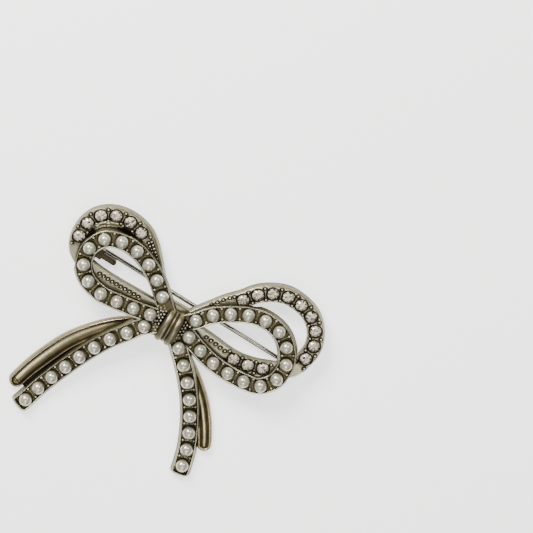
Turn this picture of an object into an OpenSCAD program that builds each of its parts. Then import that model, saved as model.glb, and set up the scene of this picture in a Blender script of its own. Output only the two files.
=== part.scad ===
// Bow brooch: a double ribbon bow in antique silver that lies on its back, face up.
// The upper casting is a bow of ribbon set with pearls, with two tails and the tied knot.
// The lower casting is a wider bow set with crystals, with two plain fluted tails.
// A hinged pin stem and its hook lie behind them. X runs across the bow, Y up it, Z out of its face.

/* [Bow] */
// Reach of the loops to each side of the knot
bow_reach = 31; // [29:0.5:36]
// Rise of the loops above the middle of the knot
loop_rise = 21; // [20:0.5:25]
// Fall of the tails below the middle of the knot
tail_fall = 35; // [32:0.5:40]

/* [Castings] */
// Thickness of each cast ribbon
ribbon_t = 1.6; // [1.5:0.1:2.4]
// Thickness of the plain fluted tails
fluted_t = 1.4; // [1.2:0.1:1.5]
// Width of the plain fluted tails
fluted_w = 3.9; // [3:0.1:4.4]
// Width of the raised rim along a pearl ribbon
rim_w = 0.28; // [0.2:0.02:0.4]
// How far the ribbons' side walls slope outwards
wall_slope = 0.46; // [0.2:0.02:0.6]
// Depth of the channel that the pearls sit in
channel_depth = 0.6; // [0.4:0.05:0.8]
// Width of the sloping shoulder outside the crystals
shoulder_w = 1.5; // [0.8:0.1:2]
// Gap between the two castings where they cross
layer_gap = 0.05; // [0.03:0.01:0.1]
// Width of the thin web between each plain tail and its pearl tail
web_w = 1.3; // [0.6:0.1:1.6]
// Thickness of that web
web_t = 0.5; // [0.3:0.05:0.8]

/* [Pearls] */
// Diameter of a pearl
pearl_d = 3; // [2.6:0.1:3.2]
// Height of a pearl's middle above its flat back
pearl_back = 0.6; // [0.4:0.05:0.9]
// Least gap between neighbouring pearls
pearl_gap = 0.82; // [0.5:0.02:1.2]

/* [Crystals] */
// Diameter of a crystal at its girdle
crystal_d = 2.7; // [2.2:0.1:2.9]
// Gap between neighbouring crystals
crystal_gap = 0.75; // [0.6:0.05:1]
// Crystals on the left loop
left_crystals = 6; // [3:1:7]
// Crystals round the right loop
right_crystals = 9; // [4:1:10]
// Crystals on the lower strand of the right loop
lower_crystals = 3; // [1:1:4]
// Clearance round each stone in its seat
seat_gap = 0.06; // [0.04:0.01:0.1]

/* [Beading] */
// Diameter of the small cast beads
bead_d = 0.62; // [0.4:0.02:0.7]
// Height of the small cast beads
bead_h = 0.42; // [0.3:0.02:0.6]
// Width of the low bar across the channel between two pearls
bar_w = 0.24; // [0.16:0.02:0.4]
// Height of that bar above the channel's floor
bar_h = 0.25; // [0.1:0.05:0.4]

/* [Knot] */
// Width of the knot across the bow
knot_w = 4; // [3.4:0.1:5]
// Length of the knot up the bow
knot_len = 8.4; // [7:0.1:9.5]
// Height of the knot above the back of the upper casting
knot_rise = 3.6; // [3:0.1:4.5]
// Drop of the knot's middle below the crossing of the ribbons
knot_drop = 0.5; // [0:0.1:1]

/* [Pin] */
// Diameter of the pin stem
pin_d = 1; // [0.8:0.05:1.2]
// Height of the pin line above the middle of the knot, up the bow
pin_up = 5.6; // [5:0.1:6.2]
// Lean of the pin line across the bow in degrees
pin_lean = 2.1; // [1:0.1:3]
// How far the stem's point passes the catch
point_past = 0.7; // [0.4:0.1:1]
// Length of the sharpened point
point_len = 4; // [2:0.5:6]

/* [Findings] */
// Distance of the hinge pivot inside the right reach of the bow
hinge_inset = 2.7; // [2.4:0.1:3.2]
// Distance of the catch's outer end inside the left reach of the bow
catch_inset = 7.1; // [7:0.1:7.5]
// Diameter of the rivet that the stem turns on
rivet_d = 0.8; // [0.6:0.05:1]
// Radial play of the stem's eye on the rivet
rivet_play = 0.05; // [0.03:0.01:0.08]
// Metal round the rivet in the stem's eye
eye_wall = 0.5; // [0.4:0.05:0.7]
// Width of the stem's eye
eye_w = 1.1; // [1:0.1:1.6]
// Side play of the eye between the ears
ear_play = 0.08; // [0.05:0.01:0.2]
// Thickness of each ear of the hinge
ear_t = 0.7; // [0.5:0.05:1]
// Thickness of the plates soldered to the castings
plate_t = 0.45; // [0.3:0.05:0.6]
// Clearance between the stem and the hook
hook_gap = 0.07; // [0.05:0.01:0.12]
// Thickness of the hook's wall beside the stem
hook_t = 1.3; // [0.9:0.1:1.5]
// Length of the hook along the pin
hook_len = 6.7; // [5:0.1:7.5]
// Height of the hook's wall above the stem's axis
hook_h = 0.8; // [0.6:0.05:1]
// Length of the post that carries the hook
post_len = 3; // [2:0.2:3.4]

/* [Hidden] */
// Each row of a ribbon's table is one station on the way round, in order.
// Column X is a share of bow_reach. Column Y is a share of loop_rise on a loop and of
// tail_fall on a tail. The loops are walked with their inside on the left.
LEFT_PEARL_LOOP = [
    [-0.03, 0.045], [-0.145, 0.2], [-0.25, 0.34], [-0.355, 0.445], [-0.475, 0.51], [-0.605, 0.52],
    [-0.725, 0.455], [-0.79, 0.285], [-0.765, 0.1], [-0.68, -0.025], [-0.545, -0.08], [-0.41, -0.065],
    [-0.285, -0.04], [-0.165, -0.01], [-0.03, 0.015]];
RIGHT_PEARL_LOOP = [
    [0.06, 0.05], [0.14, -0.005], [0.265, -0.075], [0.39, -0.125], [0.52, -0.145], [0.645, -0.14],
    [0.77, -0.1], [0.85, 0.04], [0.86, 0.24], [0.805, 0.4], [0.705, 0.515], [0.575, 0.55],
    [0.45, 0.515], [0.335, 0.43], [0.225, 0.32], [0.14, 0.18], [0.06, 0.07]];
LEFT_PEARL_TAIL = [
    [-0.045, -0.02], [-0.17, -0.1], [-0.25, -0.195], [-0.325, -0.285], [-0.39, -0.39], [-0.445, -0.495],
    [-0.495, -0.605], [-0.54, -0.71], [-0.58, -0.815], [-0.613, -0.92], [-0.63, -0.962]];
RIGHT_PEARL_TAIL = [
    [0.065, -0.045], [0.13, -0.1], [0.225, -0.185], [0.315, -0.275], [0.4, -0.375], [0.47, -0.475],
    [0.53, -0.58], [0.578, -0.685], [0.61, -0.787], [0.62, -0.832]];

// On a crystal loop the third column is the outer shoulder and the fourth the inner slope,
// both as shares of shoulder_w.
LEFT_CRYSTAL_LOOP = [
    [-0.015, 0.05, 0.1, 0.25], [-0.13, 0.18, 0.1, 0.25], [-0.235, 0.32, 0.15, 0.25],
    [-0.33, 0.465, 0.35, 0.25], [-0.42, 0.59, 0.55, 0.5], [-0.51, 0.68, 0.6, 1],
    [-0.62, 0.725, 0.5, 1.1], [-0.74, 0.71, 0.4, 1.1], [-0.84, 0.62, 0.3, 0.8], [-0.89, 0.475, 0.2, 0.4],
    [-0.89, 0.305, 0.15, 0.25], [-0.845, 0.175, 0.15, 0.25], [-0.75, 0.095, 0.15, 0.25],
    [-0.63, 0.06, 0.15, 0.25], [-0.475, 0.05, 0.15, 0.25], [-0.315, 0.05, 0.15, 0.25],
    [-0.165, 0.045, 0.15, 0.25], [-0.005, 0.005, 0.15, 0.25]];
RIGHT_CRYSTAL_LOOP = [
    [0.075, 0.03, 0.15, 0.3], [0.2, 0.035, 0.15, 0.3], [0.325, 0.02, 0.15, 0.3], [0.435, 0, 0.15, 0.3],
    [0.54, -0.005, 0.15, 0.3], [0.645, 0.02, 0.15, 0.3], [0.74, 0.065, 0.15, 0.3],
    [0.845, 0.13, 0.1, 0.3], [0.93, 0.23, 0.1, 0.35], [0.965, 0.38, 0.2, 0.35], [0.97, 0.54, 0.25, 0.3],
    [0.925, 0.695, 0.25, 0.25], [0.845, 0.81, 0.35, 0.25], [0.745, 0.865, 0.4, 0.25],
    [0.625, 0.875, 0.45, 0.25], [0.525, 0.825, 0.45, 0.25], [0.435, 0.735, 0.45, 0.25],
    [0.36, 0.605, 0.4, 0.25], [0.28, 0.485, 0.35, 0.25], [0.21, 0.355, 0.3, 0.25],
    [0.14, 0.215, 0.3, 0.25], [0.07, 0.07, 0.3, 0.25]];

// On a fluted tail the third column is the width, as a share of fluted_w.
LEFT_FLUTED_TAIL = [
    [-0.015, -0.045, 0.5], [-0.145, -0.08, 0.6], [-0.265, -0.135, 0.7], [-0.385, -0.228, 0.82],
    [-0.49, -0.34, 0.92], [-0.575, -0.455, 0.98], [-0.64, -0.58, 1], [-0.7, -0.715, 0.96],
    [-0.74, -0.835, 0.9]];
RIGHT_FLUTED_TAIL = [
    [0.07, -0.065, 0.5], [0.215, -0.148, 0.66], [0.36, -0.248, 0.78], [0.485, -0.355, 0.86],
    [0.58, -0.465, 0.9], [0.64, -0.55, 0.88], [0.668, -0.597, 0.84]];

// Where the first crystal sits on the way round each loop, as a share of the way
LEFT_FIRST = 0.303;
RIGHT_FIRST = 0.427;
LOWER_FIRST = 0.189;

// Sections along each ribbon, and spline steps between two rows of its table
LOOP_RINGS = 40;
TAIL_RINGS = 20;
SPLINE_STEPS = 12;
// Sides of the small beads, the crystals and the round seats
BEAD_SIDES = 5;
CUT_SIDES = 8;
SEAT_SIDES = 12;

// Heights, from the surface that the brooch lies on
ear_r = rivet_d / 2 + rivet_play + eye_wall + 0.3;
pin_z = ear_r;
casting_gap = 0.1;
back_base = pin_z + ear_r - 0.3 + casting_gap + plate_t;
front_base = back_base + ribbon_t + layer_gap;
// Each ribbon of a casting lies a hair above the one before it, so that none of their faces coincide
hair = 0.012;
fluted_tip_z = 0.3;
tail_tip_z = 0.02;
channel_floor = ribbon_t - channel_depth;
draft = 0.1;

// Widths across a ribbon
channel_half = pearl_d / 2 + seat_gap;
room_r = channel_half / cos(180 / SEAT_SIDES);
rim_half = channel_half + rim_w;
pearl_half_w = rim_half + wall_slope;
seat_r = (crystal_d / 2 + seat_gap) / cos(180 / SEAT_SIDES);
face_half = seat_r + 0.16;
crystal_pitch = crystal_d + crystal_gap;
knot_clear = knot_w / 2 + 0.45;
first_pearl = 1.45 * pearl_d;

// A smooth curve through the rows of a table, whatever columns it has
function blended(a, b, c, d, t) =
    0.5 * (2 * b + (c - a) * t + (2 * a - 5 * b + 4 * c - d) * t * t + (3 * b - a - 3 * c + d) * t * t * t);
function smooth(rows) = [
    for (i = [0 : len(rows) - 2], k = [0 : SPLINE_STEPS - 1])
        blended(rows[max(i - 1, 0)], rows[i], rows[i + 1], rows[min(i + 2, len(rows) - 1)], k / SPLINE_STEPS),
    rows[len(rows) - 1]];

// Millimetres from shares, with any further columns kept
function sized(rows, across, up) = [
    for (r = rows) [r[0] * across, r[1] * up, for (k = [2 : 1 : len(r) - 1]) r[k]]];

// Distance walked to each point of a curve, and the point at any distance
function plan(p) = [p[0], p[1]];
function walked(path) = [
    for (i = 0, s = 0; i < len(path); i = i + 1, s = s + (i < len(path) ? norm(plan(path[i]) - plan(path[i - 1])) : 0)) s];
function point_at(path, run, s) =
    let (i = max([0, for (k = [1 : len(run) - 2]) if (run[k] <= s) k]))
    path[i] + (path[i + 1] - path[i]) * (s - run[i]) / (run[i + 1] - run[i]);
function even(path, count) =
    let (run = walked(path), total = run[len(run) - 1])
    [for (k = [0 : count]) point_at(path, run, total * k / count)];

// The tails sink from the knot to the surface in one soft wave
function sunk(share) = (1 - cos(180 * share)) / 2;

// A ribbon's stations are [x, y, z, any further columns]
function raised(p, z) = [p[0], p[1], z, for (k = [2 : 1 : len(p) - 1]) p[k]];
function level_way(rows, up, z, count) = [for (p = even(smooth(sized(rows, bow_reach, up)), count)) raised(p, z)];
function sinking_way(rows, z, tip_z, count) =
    let (p = even(smooth(sized(rows, bow_reach, tail_fall)), count))
    [for (k = [0 : count]) raised(p[k], z - (z - tip_z) * sunk(k / count))];

left_pearl_way = level_way(LEFT_PEARL_LOOP, loop_rise, front_base + 3 * hair, LOOP_RINGS);
right_pearl_way = level_way(RIGHT_PEARL_LOOP, loop_rise, front_base + 2 * hair, LOOP_RINGS);
left_tail_way = sinking_way(LEFT_PEARL_TAIL, front_base + hair, tail_tip_z, TAIL_RINGS);
right_tail_way = sinking_way(RIGHT_PEARL_TAIL, front_base, tail_tip_z, TAIL_RINGS);
left_crystal_way = level_way(LEFT_CRYSTAL_LOOP, loop_rise, back_base, LOOP_RINGS);
right_crystal_way = level_way(RIGHT_CRYSTAL_LOOP, loop_rise, back_base + hair, LOOP_RINGS);
left_fluted_way = sinking_way(LEFT_FLUTED_TAIL, back_base + 2 * hair, fluted_tip_z, TAIL_RINGS);
right_fluted_way = sinking_way(RIGHT_FLUTED_TAIL, back_base + 3 * hair, fluted_tip_z, TAIL_RINGS);

// A frame on a way: its place, the way it runs, its left and its up
function spot(p) = [p[0], p[1], p[2]];
function unit(v) = v / norm(v);
function frame_of(place, run) = let (side = unit([-run[1], run[0], 0])) [place, run, side, cross(run, side)];
function station(way, i) =
    frame_of(spot(way[i]), unit(spot(way[min(i + 1, len(way) - 1)]) - spot(way[max(i - 1, 0)])));
function frame_at(way, s) =
    let (run = walked(way), near = 0.4)
    frame_of(spot(point_at(way, run, s)),
        unit(spot(point_at(way, run, s + near)) - spot(point_at(way, run, max(s - near, 0)))));
function way_len(way) = let (run = walked(way)) run[len(run) - 1];

// The plan's extent from the middle of the knot, so that the part's origin lies under its middle
function column(rows, k) = [for (p = rows) p[k]];
plan_left = min(column(left_crystal_way, 0)) - face_half - shoulder_w * 0.36;
plan_right = max(column(right_crystal_way, 0)) + face_half + shoulder_w * 0.36 + draft;
plan_top = max(column(right_crystal_way, 1)) + face_half + shoulder_w * 0.45;
plan_foot = min(column(left_tail_way, 1)) - rim_half * 0.84;
module centred() {
    translate([-(plan_left + plan_right) / 2, -(plan_top + plan_foot) / 2, 0]) children();
}

// Stands its children on a frame: X runs along the way and Z points up
module on(f) {
    multmatrix([
        [f[1][0], f[2][0], f[3][0], f[0][0]],
        [f[1][1], f[2][1], f[3][1], f[0][1]],
        [f[1][2], f[2][2], f[3][2], f[0][2]],
        [0, 0, 0, 1]]) children();
}

// One closed ribbon: a section at each station from first to end, joined ring to ring
module ribbon(way, sections, first, end) {
    m = len(sections[0]);
    last = end - first;
    points = [for (i = [first : end]) let (f = station(way, i)) for (q = sections[i]) f[0] + q[0] * f[2] + q[1] * f[3]];
    sides = [for (i = [0 : last - 1], j = [0 : m - 1])
        let (a = i * m + j, b = i * m + (j + 1) % m) each [[a, b, a + m], [b, b + m, a + m]]];
    polyhedron(points, concat(sides, [[for (j = [m - 1 : -1 : 0]) j]], [[for (j = [0 : m - 1]) last * m + j]]));
}

// A tail is one length of ribbon. A loop is two halves that meet, because its ends lie on each other.
module tail(way, sections) {
    ribbon(way, sections, 0, TAIL_RINGS);
}
module loop(way, sections) {
    half = floor(LOOP_RINGS / 2);
    ribbon(way, sections, 0, half);
    ribbon(way, sections, half, LOOP_RINGS);
}

// Sections across the ribbons, from the right foot over the top to the left foot
function pearl_section() = [
    [-pearl_half_w, 0], [-rim_half, ribbon_t], [-channel_half, ribbon_t], [-channel_half, channel_floor],
    [channel_half, channel_floor], [channel_half, ribbon_t], [rim_half, ribbon_t], [pearl_half_w, 0]];
function crystal_section(shoulder, inside) =
    let (out = shoulder * shoulder_w, in = inside * shoulder_w)
    [
        [-face_half - out - draft, 0], [-face_half - out, ribbon_t * 0.4],
        [-face_half - out * 0.5, ribbon_t * 0.85], [-face_half, ribbon_t], [face_half, ribbon_t],
        [face_half + in * 0.5, ribbon_t * 0.75], [face_half + in, ribbon_t * 0.2], [face_half + in, 0]];
// Left tail: a broad hollow between two rounded rims. Right tail: three rounded flutes.
LEFT_FLUTE = [
    [-1, 0.6], [-0.86, 1], [-0.7, 0.92], [-0.4, 0.6], [0, 0.5], [0.4, 0.6], [0.7, 0.92], [0.86, 1], [1, 0.6]];
RIGHT_FLUTE = [
    [-1, 0.6], [-0.84, 0.95], [-0.56, 0.95], [-0.4, 0.66], [-0.22, 1], [0.22, 1], [0.4, 0.66],
    [0.56, 0.95], [0.84, 0.95], [1, 0.6]];
// A thin web reaches from the fluted tail to the pearl tail, on the side given as -1 or 1
function fluted_section(flute, share, side) =
    let (w = share * fluted_w / 2)
    concat(
        side < 0 ? [[-w - web_w, 0], [-w - web_w, web_t], [-w, web_t]] : [[-w - draft, 0]],
        [for (q = flute) [q[0] * w, q[1] * fluted_t]],
        side > 0 ? [[w, web_t], [w + web_w, web_t], [w + web_w, 0]] : [[w + draft, 0]]);

// An end piece is smaller than its ribbon by this much all round, so that none of their faces coincide
inset = 0.03;
// A round end for a fluted tail, turned from half of its section and begun a little inside it
module fluted_end(way, flute) {
    w = way[len(way) - 1][3] * fluted_w / 2 - inset;
    overlap = 0.3;
    on(station(way, len(way) - 1)) translate([-overlap, 0, 0]) rotate([0, 0, -90])
        rotate_extrude(angle = 180, $fn = 22) polygon([
            [0, inset / 2], for (q = flute) if (q[0] >= 0) [q[0] * w, q[1] * fluted_t - inset],
            [w + draft, inset / 2]]);
}

// Small beads: one domed drop, standing on the surface at height z beside the way
module bead(f, along, aside, z) {
    on(f) translate([along, aside, z]) hull() {
        translate([0, 0, -0.15]) cylinder(d = bead_d, h = 0.15 + bead_h * 0.45, $fn = BEAD_SIDES);
        cylinder(d = bead_d * 0.5, h = bead_h, $fn = BEAD_SIDES);
    }
}

// Distances along a way at which its pearls sit, spread evenly between the first and the last
function pearl_stops(way, first, last) =
    let (room = way_len(way) - first - last, gaps = floor(room / (pearl_d + pearl_gap)))
    [for (k = [0 : gaps]) first + room * k / gaps];
end_r = 0.75;
tail_last = channel_half + 0.1;
left_loop_stops = pearl_stops(left_pearl_way, first_pearl * 1.25, first_pearl);
right_loop_stops = pearl_stops(right_pearl_way, first_pearl * 0.75, first_pearl * 0.75);
left_tail_stops = pearl_stops(left_tail_way, first_pearl, tail_last);
right_tail_stops = pearl_stops(right_tail_way, first_pearl * 0.65, tail_last);

module pearl() {
    difference() {
        translate([0, 0, pearl_back]) sphere(d = pearl_d, $fn = 48);
        translate([0, 0, -pearl_d]) cube(2 * pearl_d, center = true);
    }
}
module pearl_row(way, stops) {
    color("#f2efe6") for (s = stops) on(frame_at(way, s)) translate([0, 0, channel_floor + seat_gap]) pearl();
}

// Between two pearls: a low bar across the channel, with a bead at each end of it
module bars_and_beads(way, stops) {
    for (k = [0 : len(stops) - 2]) {
        f = frame_at(way, (stops[k] + stops[k + 1]) / 2);
        on(f) hull() for (side = [-1, 1])
            translate([0, side * channel_half, channel_floor - 0.1]) cylinder(d = bar_w, h = 0.1 + bar_h, $fn = 6);
        for (side = [-1, 1]) bead(f, 0, side * (channel_half - bead_d * 0.62), channel_floor);
    }
}

// Room for the pearls close to the knot, where one ribbon's rim meets another's pearl, and for
// the last pearl of a tail, where the channel's end is round
module pearl_room(way, stops) {
    for (k = [0 : len(stops) - 1]) {
        f = frame_at(way, stops[k]);
        if (norm(plan(f[0])) < knot_len || k == len(stops) - 1)
            on(f) translate([0, 0, channel_floor + seat_gap * 0.7]) cylinder(r = room_r, h = ribbon_t, $fn = SEAT_SIDES);
    }
}

// The squared end of a pearl tail, with round corners and a rim that closes the channel
module squared_end(way) {
    on(station(way, len(way) - 1)) hull() for (side = [-1, 1])
        translate([-end_r * 0.1, side * (rim_half - inset - end_r), inset / 2])
            cylinder(r1 = end_r + wall_slope, r2 = end_r, h = ribbon_t - inset, $fn = 16);
}

// The knot: two thick folds of ribbon with a thin fold between, wrapped over in one arch
KNOT_FOLDS = [[-0.5, 0], [-0.47, 0.35], [-0.38, 0.8], [-0.27, 1], [-0.16, 0.85], [-0.1, 0.35], [-0.05, 0.5],
    [0, 0.62], [0.05, 0.4], [0.1, 0.35], [0.17, 0.85], [0.28, 1], [0.39, 0.8], [0.47, 0.35], [0.5, 0]];
KNOT_STEPS = 14;
fold_h = 0.75;
module knot() {
    m = KNOT_STEPS + 1;
    last = len(KNOT_FOLDS) - 1;
    points = [for (q = KNOT_FOLDS, k = [0 : KNOT_STEPS])
        let (turn = 180 * k / KNOT_STEPS, lift = fold_h * (q[1] - 1))
        [q[0] * knot_w, -knot_drop - (knot_len / 2 + lift) * cos(turn), front_base + (knot_rise + lift) * pow(sin(turn), 0.8)]];
    top = [for (i = [0 : last - 1], k = [0 : KNOT_STEPS - 1])
        let (a = i * m + k, b = a + m) each [[a, a + 1, b], [b, a + 1, b + 1]]];
    foot = [for (i = [0 : last - 1]) let (a = i * m, b = a + m) each [[a, b, b + m - 1], [a, b + m - 1, a + m - 1]]];
    polyhedron(points, concat(top, foot, [[for (k = [m - 1 : -1 : 0]) k]], [[for (k = [0 : m - 1]) last * m + k]]));
}

// The flat that the ribbons run together on, with a row of beads along each side of the knot
module collar(z, t, top) {
    corner_r = 1.3;
    hull() for (x = [-1, 1], y = [-knot_len * 0.26, top])
        translate([x * knot_clear, y, z]) cylinder(r = corner_r, h = t, $fn = 16);
}
module knot_beads() {
    count = 6;
    for (side = [-1, 1], k = [0 : count - 1])
        bead(frame_of([side * (knot_clear + 0.02 * k), knot_len * 0.66 * (k / (count - 1) - 0.5), front_base],
            [cos(17 * k), sin(17 * k), 0]), 0, 0, channel_floor);
}

module pearl_bow() {
    color("#a8a492") difference() {
        union() {
            for (way = [left_pearl_way, right_pearl_way]) loop(way, [for (p = way) pearl_section()]);
            for (way = [left_tail_way, right_tail_way]) tail(way, [for (p = way) pearl_section()]);
            for (way = [left_tail_way, right_tail_way]) squared_end(way);
            bars_and_beads(left_pearl_way, left_loop_stops);
            bars_and_beads(right_pearl_way, right_loop_stops);
            bars_and_beads(left_tail_way, left_tail_stops);
            bars_and_beads(right_tail_way, right_tail_stops);
            collar(front_base, channel_floor - 0.05, knot_len * 0.24);
            knot_beads();
            knot();
        }
        pearl_room(left_pearl_way, left_loop_stops);
        pearl_room(right_pearl_way, right_loop_stops);
        pearl_room(left_tail_way, left_tail_stops);
        pearl_room(right_tail_way, right_tail_stops);
    }
}

// Crystals: where they sit, the seats cut for them and the beads between them
function crystal_stops(way, first, count) = [for (k = [0 : count - 1]) way_len(way) * first + k * crystal_pitch];
left_crystal_stops = crystal_stops(left_crystal_way, LEFT_FIRST, left_crystals);
right_crystal_stops = crystal_stops(right_crystal_way, RIGHT_FIRST, right_crystals);
lower_crystal_stops = crystal_stops(right_crystal_way, LOWER_FIRST, lower_crystals);

crown_h = 0.19 * crystal_d;
pavilion_h = 0.3 * crystal_d;
table_sink = 0.02;
girdle_z = ribbon_t - table_sink - crown_h;
module crystal_seat(way, s) {
    on(frame_at(way, s)) translate([0, 0, girdle_z - pavilion_h - seat_gap])
        cylinder(r = seat_r, h = ribbon_t, $fn = SEAT_SIDES);
}
// A cut stone: an eight-sided table, a crown of 24 facets and a pointed back of 16
module cut_stone() {
    r = crystal_d / 2;
    n = CUT_SIDES;
    points = concat(
        [for (k = [0 : n - 1]) [0.58 * r * cos(360 * k / n), 0.58 * r * sin(360 * k / n), crown_h]],
        [for (k = [0 : 2 * n - 1]) [r * cos(180 * k / n), r * sin(180 * k / n), 0]],
        [[0, 0, -pavilion_h]]);
    crown = [for (k = [0 : n - 1]) let (a = k, b = (k + 1) % n, g = n + 2 * k, h = g + 1, j = n + (2 * k + 2) % (2 * n))
        each [[a, h, g], [a, b, h], [b, j, h]]];
    back = [for (k = [0 : 2 * n - 1]) [n + k, n + (k + 1) % (2 * n), 3 * n]];
    polyhedron(points, concat([[for (k = [n - 1 : -1 : 0]) k]], crown, back));
}
module crystal(way, s) {
    color("#efe6e0") on(frame_at(way, s)) translate([0, 0, girdle_z]) cut_stone();
}
// Beads on the crystal ribbons, left out where a pearl ribbon covers them
function beside(f, aside) = plan(f[0]) + aside * plan(f[2]);
function in_the_open(p) =
    min([for (way = [left_pearl_way, right_pearl_way, left_tail_way, right_tail_way], q = way) norm(plan(q) - p)])
        > pearl_half_w + bead_d * 0.55;
module beads_beside(way, stops, asides) {
    for (s = stops, aside = asides)
        let (f = frame_at(way, s)) if (in_the_open(beside(f, aside))) bead(f, 0, aside, ribbon_t);
}
// Pairs halfway between the stones, and finer rows of beads towards the knot
pair_aside = face_half - bead_d * 0.6;
function halfway(stops) = [for (s = stops) s - crystal_pitch / 2];
function row_of(first, count) = [for (k = [0 : count - 1]) first + k * bead_pitch];
bead_pitch = bead_d * 1.9;
left_pair_stops = concat(halfway(left_crystal_stops), [left_crystal_stops[0] + (left_crystals - 0.5) * crystal_pitch]);
right_pair_stops = halfway(concat(right_crystal_stops, lower_crystal_stops));
left_inner_row = row_of(left_crystal_stops[0] - 4.3 * bead_pitch, 3);
left_lower_row = row_of(way_len(left_crystal_way) * 0.73, 9);
right_upper_row = row_of(right_crystal_stops[right_crystals - 1] + 1.8 * bead_pitch, 3);
right_lower_row = row_of(lower_crystal_stops[0] - 5.6 * bead_pitch, 4);

module crystal_bow() {
    color("#98937f") difference() {
        union() {
            for (way = [left_crystal_way, right_crystal_way])
                loop(way, [for (p = way) crystal_section(p[3], p[4])]);
            tail(left_fluted_way, [for (p = left_fluted_way) fluted_section(LEFT_FLUTE, p[3], 1)]);
            tail(right_fluted_way, [for (p = right_fluted_way) fluted_section(RIGHT_FLUTE, p[3], -1)]);
            fluted_end(left_fluted_way, LEFT_FLUTE);
            fluted_end(right_fluted_way, RIGHT_FLUTE);
            collar(back_base, ribbon_t - 0.05, knot_len * 0.42);
            beads_beside(left_crystal_way, left_pair_stops, [-pair_aside, pair_aside]);
            beads_beside(right_crystal_way, right_pair_stops, [-pair_aside, pair_aside]);
            beads_beside(left_crystal_way, left_inner_row, [-bead_d, bead_d * 0.4]);
            beads_beside(left_crystal_way, left_lower_row, [bead_d * 0.9]);
            beads_beside(right_crystal_way, right_upper_row, [-bead_d * 0.7]);
            beads_beside(right_crystal_way, right_lower_row, [bead_d * 0.7]);
        }
        for (s = left_crystal_stops) crystal_seat(left_crystal_way, s);
        for (s = concat(right_crystal_stops, lower_crystal_stops)) crystal_seat(right_crystal_way, s);
        for (way = [left_tail_way, right_tail_way]) pearl_tail_room(way);
    }
}
// Room in the lower casting for a pearl tail that sinks past it
module pearl_tail_room(way) {
    w = pearl_half_w + layer_gap;
    tail(way, [for (p = way) [[-w, -layer_gap], [-w, ribbon_t * 2], [w, ribbon_t * 2], [w, -layer_gap]]]);
}

// The pin runs from the hinge under the right loops, past the catch under the left loops
hinge_reach = bow_reach - hinge_inset;
catch_from = hinge_reach + bow_reach - catch_inset;
pin_len = catch_from + point_past;

// The pin's own frame: the pivot at its origin, the stem running towards -X, Y along the rivet
module at_pin() {
    translate([hinge_reach, pin_up - hinge_reach * tan(pin_lean), pin_z]) rotate([0, 0, -pin_lean]) children();
}
bore_r = rivet_d / 2 + rivet_play;
eye_r = bore_r + eye_wall;

module pin_stem() {
    color("#b9b9b4") at_pin() {
        difference() {
            union() {
                rotate([90, 0, 0]) cylinder(r = eye_r, h = eye_w, center = true, $fn = 48);
                rotate([0, -90, 0]) cylinder(d = pin_d, h = pin_len - point_len, $fn = 32);
                translate([point_len - pin_len, 0, 0]) rotate([0, -90, 0])
                    cylinder(d1 = pin_d, d2 = pin_d * 0.12, h = point_len, $fn = 32);
            }
            rotate([90, 0, 0]) cylinder(r = bore_r, h = 2 * eye_w, center = true, $fn = 48);
        }
    }
}

// Hinge: a plate soldered behind the right loop, two ears and the rivet through them
module hinge() {
    plate_len = 2 * ear_r + 0.9;
    ear_y = eye_w / 2 + ear_play;
    plate_top = back_base - pin_z - casting_gap / 2;
    color("#8f8c80") at_pin() {
        translate([-plate_len / 2, -ear_y - ear_t, plate_top - plate_t]) cube([plate_len, 2 * (ear_y + ear_t), plate_t]);
        for (side = [0, 1]) mirror([0, side, 0]) translate([0, ear_y, 0]) {
            rotate([-90, 0, 0]) cylinder(r = ear_r, h = ear_t, $fn = 48);
            translate([-ear_r, 0, 0]) cube([2 * ear_r, ear_t, plate_top - plate_t / 2]);
        }
        rotate([90, 0, 0]) cylinder(d = rivet_d, h = 2 * ear_y + ear_t, center = true, $fn = 48);
    }
}

// Catch: a wall that the stem lies against, open downwards, on a post under the left pearl loop
module catch() {
    post_top = front_base - pin_z - layer_gap;
    near = pin_d / 2 + hook_gap;
    round_r = hook_t / 2;
    color("#8f8c80") at_pin() translate([-catch_from, 0, 0]) {
        translate([0, -near - hook_t, -pin_z]) cube([hook_len - round_r, hook_t, pin_z + hook_h]);
        translate([hook_len - round_r, -near - round_r, -pin_z]) cylinder(r = round_r, h = pin_z + hook_h, $fn = 48);
        translate([0, -near - hook_t, near]) cube([post_len, near + hook_t + pin_d / 2, post_top - near]);
    }
}

LEFT_STONES = [for (k = [1 : left_crystals]) str("left_crystal_", k)];
RIGHT_STONES = [for (k = [1 : right_crystals]) str("right_crystal_", k)];
LOWER_STONES = [for (k = [1 : lower_crystals]) str("lower_crystal_", k)];

centred() pearl_bow();
centred() crystal_bow();
centred() pearl_row(left_pearl_way, left_loop_stops);  // left_loop_pearls
centred() pearl_row(right_pearl_way, right_loop_stops);  // right_loop_pearls
centred() pearl_row(left_tail_way, left_tail_stops);  // left_tail_pearls
centred() pearl_row(right_tail_way, right_tail_stops);  // right_tail_pearls
for (k = [0 : left_crystals - 1])
    centred() crystal(left_crystal_way, left_crystal_stops[k]);
for (k = [0 : right_crystals - 1])
    centred() crystal(right_crystal_way, right_crystal_stops[k]);
for (k = [0 : lower_crystals - 1])
    centred() crystal(right_crystal_way, lower_crystal_stops[k]);
centred() hinge();
centred() catch();
centred() pin_stem();
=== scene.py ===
# %% [markdown]
# # A bow brooch in antique silver
# The real brooch is cast in two layers of ribbon, plated in silver and darkened with an oxide that
# stays in every hollow, then set with half pearls and small crystals. This lesson loads the packed
# frame, builds each layer as a surface worked out with numpy, and lights it like a jeweller's photo.

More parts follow.
